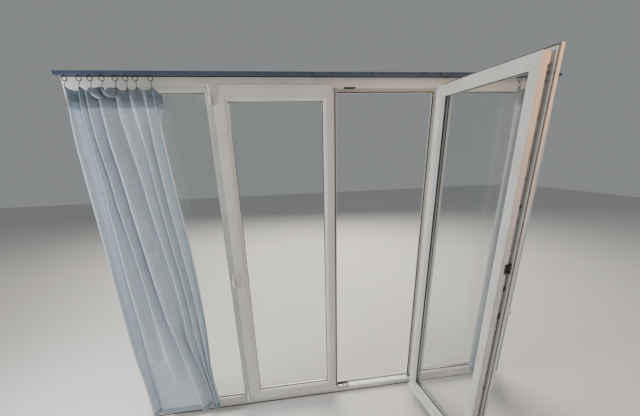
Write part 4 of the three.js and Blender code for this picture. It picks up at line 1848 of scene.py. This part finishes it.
@dataclass
class Curtain:
    """One gathered curtain: a sheet laid in folds by the crests of its rows, then let hang from its hooks.

    Attributes:
        side: Which track it hangs from.
        rows: Where its crests stand.
        lengths: How much cloth each fold takes.
        lean: Where the hollow lies between two crests, as a share of the way.
        flops: Stretches of heading that flop over.
        corner: Slope at which the heading droops past the last hook.
        sag: How far the heading sags between two hooks.
        hang_y: Where the cloth hangs, outboard.
        thick: The cloth's thickness.
        fullness: How much of a fold's spare cloth goes to its depth before the cloth is let hang.
        deepest: The deepest that a fold may lie.
        sag_fade: How far down a sag of the heading fades.
        lift_fade: How far below a flop the pull on the cloth fades.
        flop_out: How far a flop stands out into the cabin.
        columns_per_fold: Cells across one fold.
        step: Height of one cell.
        frames: How long the cloth hangs before it is taken, in frames.
        tape: The heading tape's upper and lower edge, down from the cloth's.
        heading: How far down the heading reaches.
        grips: How firmly the simulation holds the cloth at a hook, in its heading, along its first edge and
            elsewhere.
        hook_reach: How far round a hook the cloth is held fast.
        edge_cells: How many cells make its first edge.
    """

    side: str
    rows: tuple[Row, ...]
    lengths: tuple[float, ...]
    lean: float = 0.74
    flops: tuple[Flop, ...] = ()
    corner: float = 0.0
    sag: float = 16.0
    hang_y: float = -85.0
    thick: float = 0.9
    fullness: float = 0.88
    deepest: float = 64.0
    sag_fade: float = 110.0
    lift_fade: float = 90.0
    flop_out: float = 34.0
    columns_per_fold: int = 16
    step: float = 8.0
    frames: int = 24
    tape: Pair = (10.0, 62.0)
    heading: float = 80.0
    grips: tuple[float, float, float, float] = (1.0, 0.5, 0.85, 0.24)
    hook_reach: float = 9.0
    edge_cells: int = 3

    @property
    def folds(self) -> int:
        """How many folds lie between the crests."""
        return len(self.rows[0].crests) - 1

    @property
    def columns(self) -> int:
        """How many cells the sheet has across."""
        return self.folds * self.columns_per_fold

    @property
    def lines(self) -> int:
        """How many cells the sheet has down."""
        return round(self.drop / self.step)

    @property
    def width(self) -> float:
        """The cloth's width before it was gathered."""
        return sum(self.lengths)

    @property
    def drop(self) -> float:
        """The cloth's length down."""
        return self.rows[0].height - self.rows[-1].height

    @property
    def hooks(self) -> list[float]:
        """X of each hook."""
        return list(GLIDERS[self.side])

    def crests_at(self, z: float) -> list[float]:
        """The crests' X at a height, between the rows that are given.

        Args:
            z: Height in millimetres.

        Returns:
            X of each crest.
        """
        heights = [row.height for row in reversed(self.rows)]
        columns = zip(*[row.crests for row in reversed(self.rows)])
        return [float(np.interp(z, heights, column)) for column in columns]

    def folded(self, along: float, z: float) -> Vector:
        """A place on the cloth laid in its folds, with a narrow crest and a broad hollow.

        Args:
            along: Place across the folds, counted in crests.
            z: Height in millimetres.

        Returns:
            The place in millimetres.
        """
        crests = self.crests_at(z)
        fold = min(int(along), self.folds - 1)
        t = along - fold
        across = crests[fold + 1] - crests[fold]
        flap = self.corner and fold == self.folds - 1
        reach, half = (self.lengths[fold], across) if flap else (self.lengths[fold] / 2, across / 2)
        down = (self.rows[0].height - z) / self.drop
        # a fold is as deep as its cloth lets it be, and half as deep at the heading
        deep = self.fullness * math.sqrt(max(reach * reach - half * half, 1.0)) * min(1.0, 0.5 + down * 3.5)
        deep = min(deep, self.deepest)
        # a hollow sways by 4 mm down its length, so that no two folds are alike
        sway = 4.0 * math.sin(1.7 * fold + 5.3 * down) * math.sin(math.pi * t) ** 2
        warp = t ** (math.log(0.5) / math.log(self.lean))
        wave = math.sin(math.pi * 0.5 * t) if flap else math.sin(math.pi * warp) if 0 < t < 1 else 0.0
        return Vector((crests[fold] + across * t + sway, self.hang_y - deep / 2 + deep * wave, z))

    def sagged(self, x: float) -> float:
        """How far the heading sags at X, and droops past the last hook, in millimetres.

        Args:
            x: A place along the heading.

        Returns:
            How far its edge lies below the hooks.
        """
        hooks = self.hooks
        for here, there in zip(hooks, hooks[1:]):
            if here < x < there:
                share = (x - here) / (there - here)
                return self.sag * 4 * share * (1 - share)
        return max(0.0, (x - hooks[-1])) * self.corner

    def place(self, along: float, down: float) -> Vector:
        """Where a point of the cloth is laid before it is let hang.

        Args:
            along: Place across the folds, counted in crests.
            down: Distance from the upper edge.

        Returns:
            The place in millimetres.
        """
        top = self.rows[0].height
        edge_x = self.folded(along, top).x
        here = self.folded(along, top - down)
        here.z -= self.sagged(edge_x) * math.exp(-down / self.sag_fade)
        for flop in self.flops:
            if not flop.start < edge_x < flop.end:
                continue
            share = math.sin(math.pi * (edge_x - flop.start) / (flop.end - flop.start)) ** 0.7
            past = max(0.0, down - flop.tall)
            here.z += flop.lift * share * math.exp(-past / self.lift_fade)
            if down < flop.tall:
                turn, reach = math.radians(flop.turn) * share, flop.tall - down
                level = min(share * 1.6, 1.0)
                here.y += (self.hang_y - self.flop_out - here.y) * level
                here.z -= reach * (1 - math.cos(turn))
                here.y -= reach * math.sin(turn)
        return here

    def held_at(self, x: float) -> Vector:
        """Where the heading takes the hook at X, in millimetres."""
        edge = [self.place(i / self.columns_per_fold, 0) for i in range(self.columns + 1)]
        return min(edge, key=lambda place: abs(place.x - x))

    def laid(self) -> Piece:
        """A flat grid, mapped, moved into its folds.

        Returns:
            The sheet, in object mode, its shape keys kept.
        """
        deselect()
        bpy.ops.mesh.primitive_grid_add(x_subdivisions=self.columns, y_subdivisions=self.lines, size=1,
                                        calc_uvs=True)
        piece = named(bpy.context.active_object, f"curtain_cloth_{self.side}")
        folds, flat = (piece.shape_key_add(name=name, from_mix=False) for name in ("folded", "flat"))
        for vertex, folded, spread_out in zip(piece.data.vertices, folds.data, flat.data):
            across, down = folded.co.x + 0.5, (0.5 - folded.co.y) * self.drop
            spread_out.co = at(across * self.width, 0, -down)
            folded.co = self.place(across * self.folds, down) * MM
            vertex.co = folded.co
        return piece

    def let_hang(self, piece: Piece) -> None:
        """Pin the cloth at its hooks, hold its folds loosely and let it hang for a second.

        Args:
            piece: The sheet in its folds.
        """
        held = piece.vertex_groups.new(name="held")
        hooked = [self.held_at(x) * MM for x in self.hooks]
        at_hook, in_heading, on_edge, elsewhere = self.grips
        for vertex in piece.data.vertices:
            near = min((vertex.co - place).length for place in hooked)
            row, cell = divmod(vertex.index, self.columns + 1)
            in_band = row > self.lines - self.heading / self.step
            spread = on_edge if cell < self.edge_cells else elsewhere
            grip = at_hook if near < self.hook_reach * MM else in_heading if in_band else spread
            held.add([vertex.index], grip, "REPLACE")
        select(piece)
        bpy.ops.object.modifier_add(type="CLOTH")
        cloth = piece.modifiers[-1]
        cloth.settings.vertex_group_mass = held.name
        cloth.settings.rest_shape_key = piece.data.shape_keys.key_blocks["flat"]
        for key, value in LIGHT_COTTON.items():
            setattr(cloth.settings, key, value)
        cloth.collision_settings.use_collision = False
        cloth.point_cache.frame_end = self.frames
        scene = bpy.context.scene
        for frame in range(1, self.frames + 1):
            scene.frame_set(frame)
        bpy.ops.object.convert(target="MESH")
        scene.frame_set(1)

    def build(self) -> None:
        """Make the sheet, the tape on the back of its heading and the gliders that hold it."""
        track = Track()
        gliders = [f"glider_{self.side}_{i}" for i in range(len(self.hooks))]
        for name, x in zip(gliders, self.hooks):
            track.glider(name, x, self.held_at(x))
        sheet = self.laid()
        self.let_hang(sheet)
        tape = self.heading_tape(sheet)
        self.thicken(sheet)
        fit(sheet, CLOTH, [f"curtain_{self.side}"])
        fit(tape, TAPE)

    def thicken(self, piece: Piece) -> None:
        """Give a sheet the cloth's thickness, half to each side."""
        close(modified(piece, "SOLIDIFY", thickness=self.thick * MM, offset=0), 180.0)

    def heading_tape(self, sheet: Piece) -> Piece:
        """Copy the band of the sheet that the tape covers and set it off to the back.

        Args:
            sheet: The cloth, still without thickness.

        Returns:
            The tape.
        """
        tape = copied(sheet, f"heading_tape_{self.side}", Vector())
        upper, lower = (self.lines - down / self.step for down in self.tape)
        select(tape)
        bpy.ops.object.mode_set(mode="EDIT")
        bpy.ops.mesh.select_mode(type="VERT")
        bpy.ops.mesh.select_all(action="DESELECT")
        bpy.ops.object.mode_set(mode="OBJECT")
        for vertex in tape.data.vertices:
            vertex.select = not lower <= vertex.index // (self.columns + 1) <= upper
        bpy.ops.object.mode_set(mode="EDIT")
        bpy.ops.mesh.delete(type="VERT")
        bpy.ops.object.mode_set(mode="OBJECT")
        self.thicken(modified(tape, "DISPLACE", strength=-(self.thick + 0.1) * MM, mid_level=0))
        return tape


@dataclass(frozen=True)
class Lamp:
    """One soft lamp of the studio."""

    name: str
    place: tuple[float, float, float]
    target: tuple[float, float, float]
    size: Pair
    power: float
    colour: str
    mirrored: bool = True

    def light(self) -> None:
        """Hang the lamp and aim it."""
        bpy.ops.object.light_add(type="AREA", location=self.place)
        lamp = bpy.context.active_object
        lamp.name = self.name
        lamp.data.shape = "RECTANGLE"
        lamp.data.size, lamp.data.size_y = self.size
        lamp.data.energy = self.power
        lamp.data.color = linear(self.colour)[:3]
        lamp.visible_glossy = self.mirrored
        aim = Vector(self.target) - Vector(self.place)
        lamp.rotation_euler = aim.to_track_quat("-Z", "Y").to_euler()


@dataclass
class Studio:
    """The pale floor, the soft lamps and the camera where the photo was taken.

    Attributes:
        focal: The camera's focal length in picture dots.
        image: The picture's width and height in dots.
        middle: Where the camera's axis meets the picture.
        stands: The camera's place in metres.
        pitch: How far it looks down, in degrees.
        yaw: How far it is turned from the front's own direction.
        roll: How far it is tilted.
        sensor: Width of its sensor in millimetres.
        sky: Colour of the light from all round.
        sky_strength: Its strength.
        lamps: The soft lamps.
    """

    focal: float = 289.298
    image: Pair = (640.0, 416.0)
    middle: Pair = (313.759, 255.165)
    stands: tuple[float, float, float] = (-0.351, -1.711, 1.672)
    pitch: float = 18.984
    yaw: float = 7.591
    roll: float = -1.81
    sensor: float = 36.0
    sky: str = "#e9edf0"
    sky_strength: float = 0.3
    lamps: tuple[Lamp, ...] = (
        Lamp("daylight", (0.6, 4.2, 4.0), (0, 0, 0.9), (5.0, 3.0), 420, "#fff6ea"),
        Lamp("side_window", (-2.6, -0.5, 1.7), (-1.0, -0.1, 1.2), (0.7, 0.9), 60, "#f4f7fb", mirrored=False),
        Lamp("cabin_fill", (1.6, -3.2, 2.6), (0, 0, 1.0), (2.5, 2.0), 34, "#f3f1ee", mirrored=False),
        Lamp("cabin_lamp", (0.72, -1.25, 2.15), (0.68, -0.6, 1.8), (0.16, 0.16), 3.6, "#ffa548",
             mirrored=False),
    )

    def build(self) -> None:
        """Lay the floor, light it and place the camera."""
        deselect()
        bpy.ops.mesh.primitive_plane_add(size=24, location=(0, 0, -0.0005))
        floor = bpy.context.active_object
        floor.name = "studio_floor"
        floor.data.materials.append(FLOOR.build())
        world = bpy.data.worlds.new("studio")
        bpy.context.scene.world = world
        world.use_nodes = True
        background = world.node_tree.nodes["Background"]
        background.inputs["Color"].default_value = linear(self.sky)
        background.inputs["Strength"].default_value = self.sky_strength
        for lamp in self.lamps:
            lamp.light()
        self.place_camera()

    def place_camera(self) -> None:
        """Stand the camera where the photo's straight edges put it, with its middle off the image's middle."""
        cy, sy = math.cos(math.radians(self.yaw)), math.sin(math.radians(self.yaw))
        cp, sp = math.cos(math.radians(self.pitch)), math.sin(math.radians(self.pitch))
        cr, sr = math.cos(math.radians(self.roll)), math.sin(math.radians(self.roll))
        # from the room's axes to the picture's, which run right, down and ahead
        turn = (
            np.array([[cr, -sr, 0], [sr, cr, 0], [0, 0, 1]]) @ np.array([[1, 0, 0], [0, cp, -sp], [0, sp, cp]])
            @ np.array([[1, 0, 0], [0, 0, -1], [0, 1, 0]]) @ np.array([[cy, -sy, 0], [sy, cy, 0], [0, 0, 1]])
        )
        right, down, ahead = (Vector(row) for row in turn)
        bpy.ops.object.camera_add()
        camera = bpy.context.active_object
        camera.name = "photo_camera"
        aim = Matrix((right, -down, -ahead)).transposed().to_4x4()
        camera.matrix_world = Matrix.Translation(self.stands) @ aim
        wide, high = self.image
        camera.data.sensor_width = self.sensor
        camera.data.lens = self.focal / wide * self.sensor
        camera.data.shift_x = (wide / 2 - self.middle[0]) / wide
        camera.data.shift_y = (self.middle[1] - high / 2) / wide
        camera.data.clip_start = 0.02
        bpy.context.scene.camera = camera


LEFT_CURTAIN = Curtain(
    "left",
    (
        Row(2000, (-1240, -1184, -1158, -1107, -1025, -975, -909, -869, -838)),
        Row(1930, (-1244, -1190, -1161, -1107, -1033, -969, -910, -868, -836)),
        Row(1890, (-1246, -1191, -1162, -1107, -1036, -966, -910, -867, -856)),
        Row(1840, (-1250, -1189, -1161, -1105, -1032, -961, -910, -866, -868)),
        Row(1770, (-1253, -1186, -1158, -1103, -1022, -953, -911, -863, -868)),
        Row(1600, (-1255, -1180, -1142, -1088, -1001, -945, -904, -855, -862)),
        Row(1450, (-1255, -1184, -1138, -1079, -990, -936, -895, -846, -854)),
        Row(1200, (-1254, -1186, -1115, -1063, -965, -918, -874, -828, -836)),
        Row(1000, (-1258, -1188, -1104, -1048, -943, -900, -862, -820, -828)),
        Row(760, (-1257, -1185, -1092, -1024, -932, -888, -850, -815, -823)),
        Row(640, (-1258, -1184, -1084, -1000, -938, -886, -850, -817, -825)),
        Row(520, (-1254, -1184, -1078, -980, -918, -876, -848, -822, -828)),
        Row(400, (-1244, -1184, -1070, -960, -886, -866, -848, -830, -834)),
        Row(240, (-1234, -1182, -1062, -940, -862, -848, -834, -826, -830)),
        Row(60, (-1230, -1180, -1054, -920, -846, -832, -820, -806, -810)),
    ),
    (112, 110, 118, 136, 84, 78, 58, 52),
    flops=(Flop(-1127, -1087, 72, 44, 10), Flop(-1078, -1032, 60, 40, 6)), corner=1.0)
RIGHT_CURTAIN = Curtain(
    "right",
    (
        Row(2000, (1018, 1080, 1140, 1200, 1254)),
        Row(1400, (1012, 1078, 1141, 1204, 1256)),
        Row(60, (1006, 1082, 1148, 1210, 1258)),
    ),
    (118, 112, 110, 106))


def dress_glazed_front() -> None:
    """Build every piece in order, then the studio."""
    logging.basicConfig(level=logging.INFO, format="%(message)s")
    OuterFrame().build()
    PassiveLeaf(Body.LEFT_LEAF, -611, 18, -1).build()
    ActiveLeaf(Body.RIGHT_LEAF, 3, 611, 1, degrees=96).build()
    Keeps().build()
    Track().build()
    LEFT_CURTAIN.build()
    RIGHT_CURTAIN.build()
    Studio().build()


if __name__ == "__main__":
    dress_glazed_front()
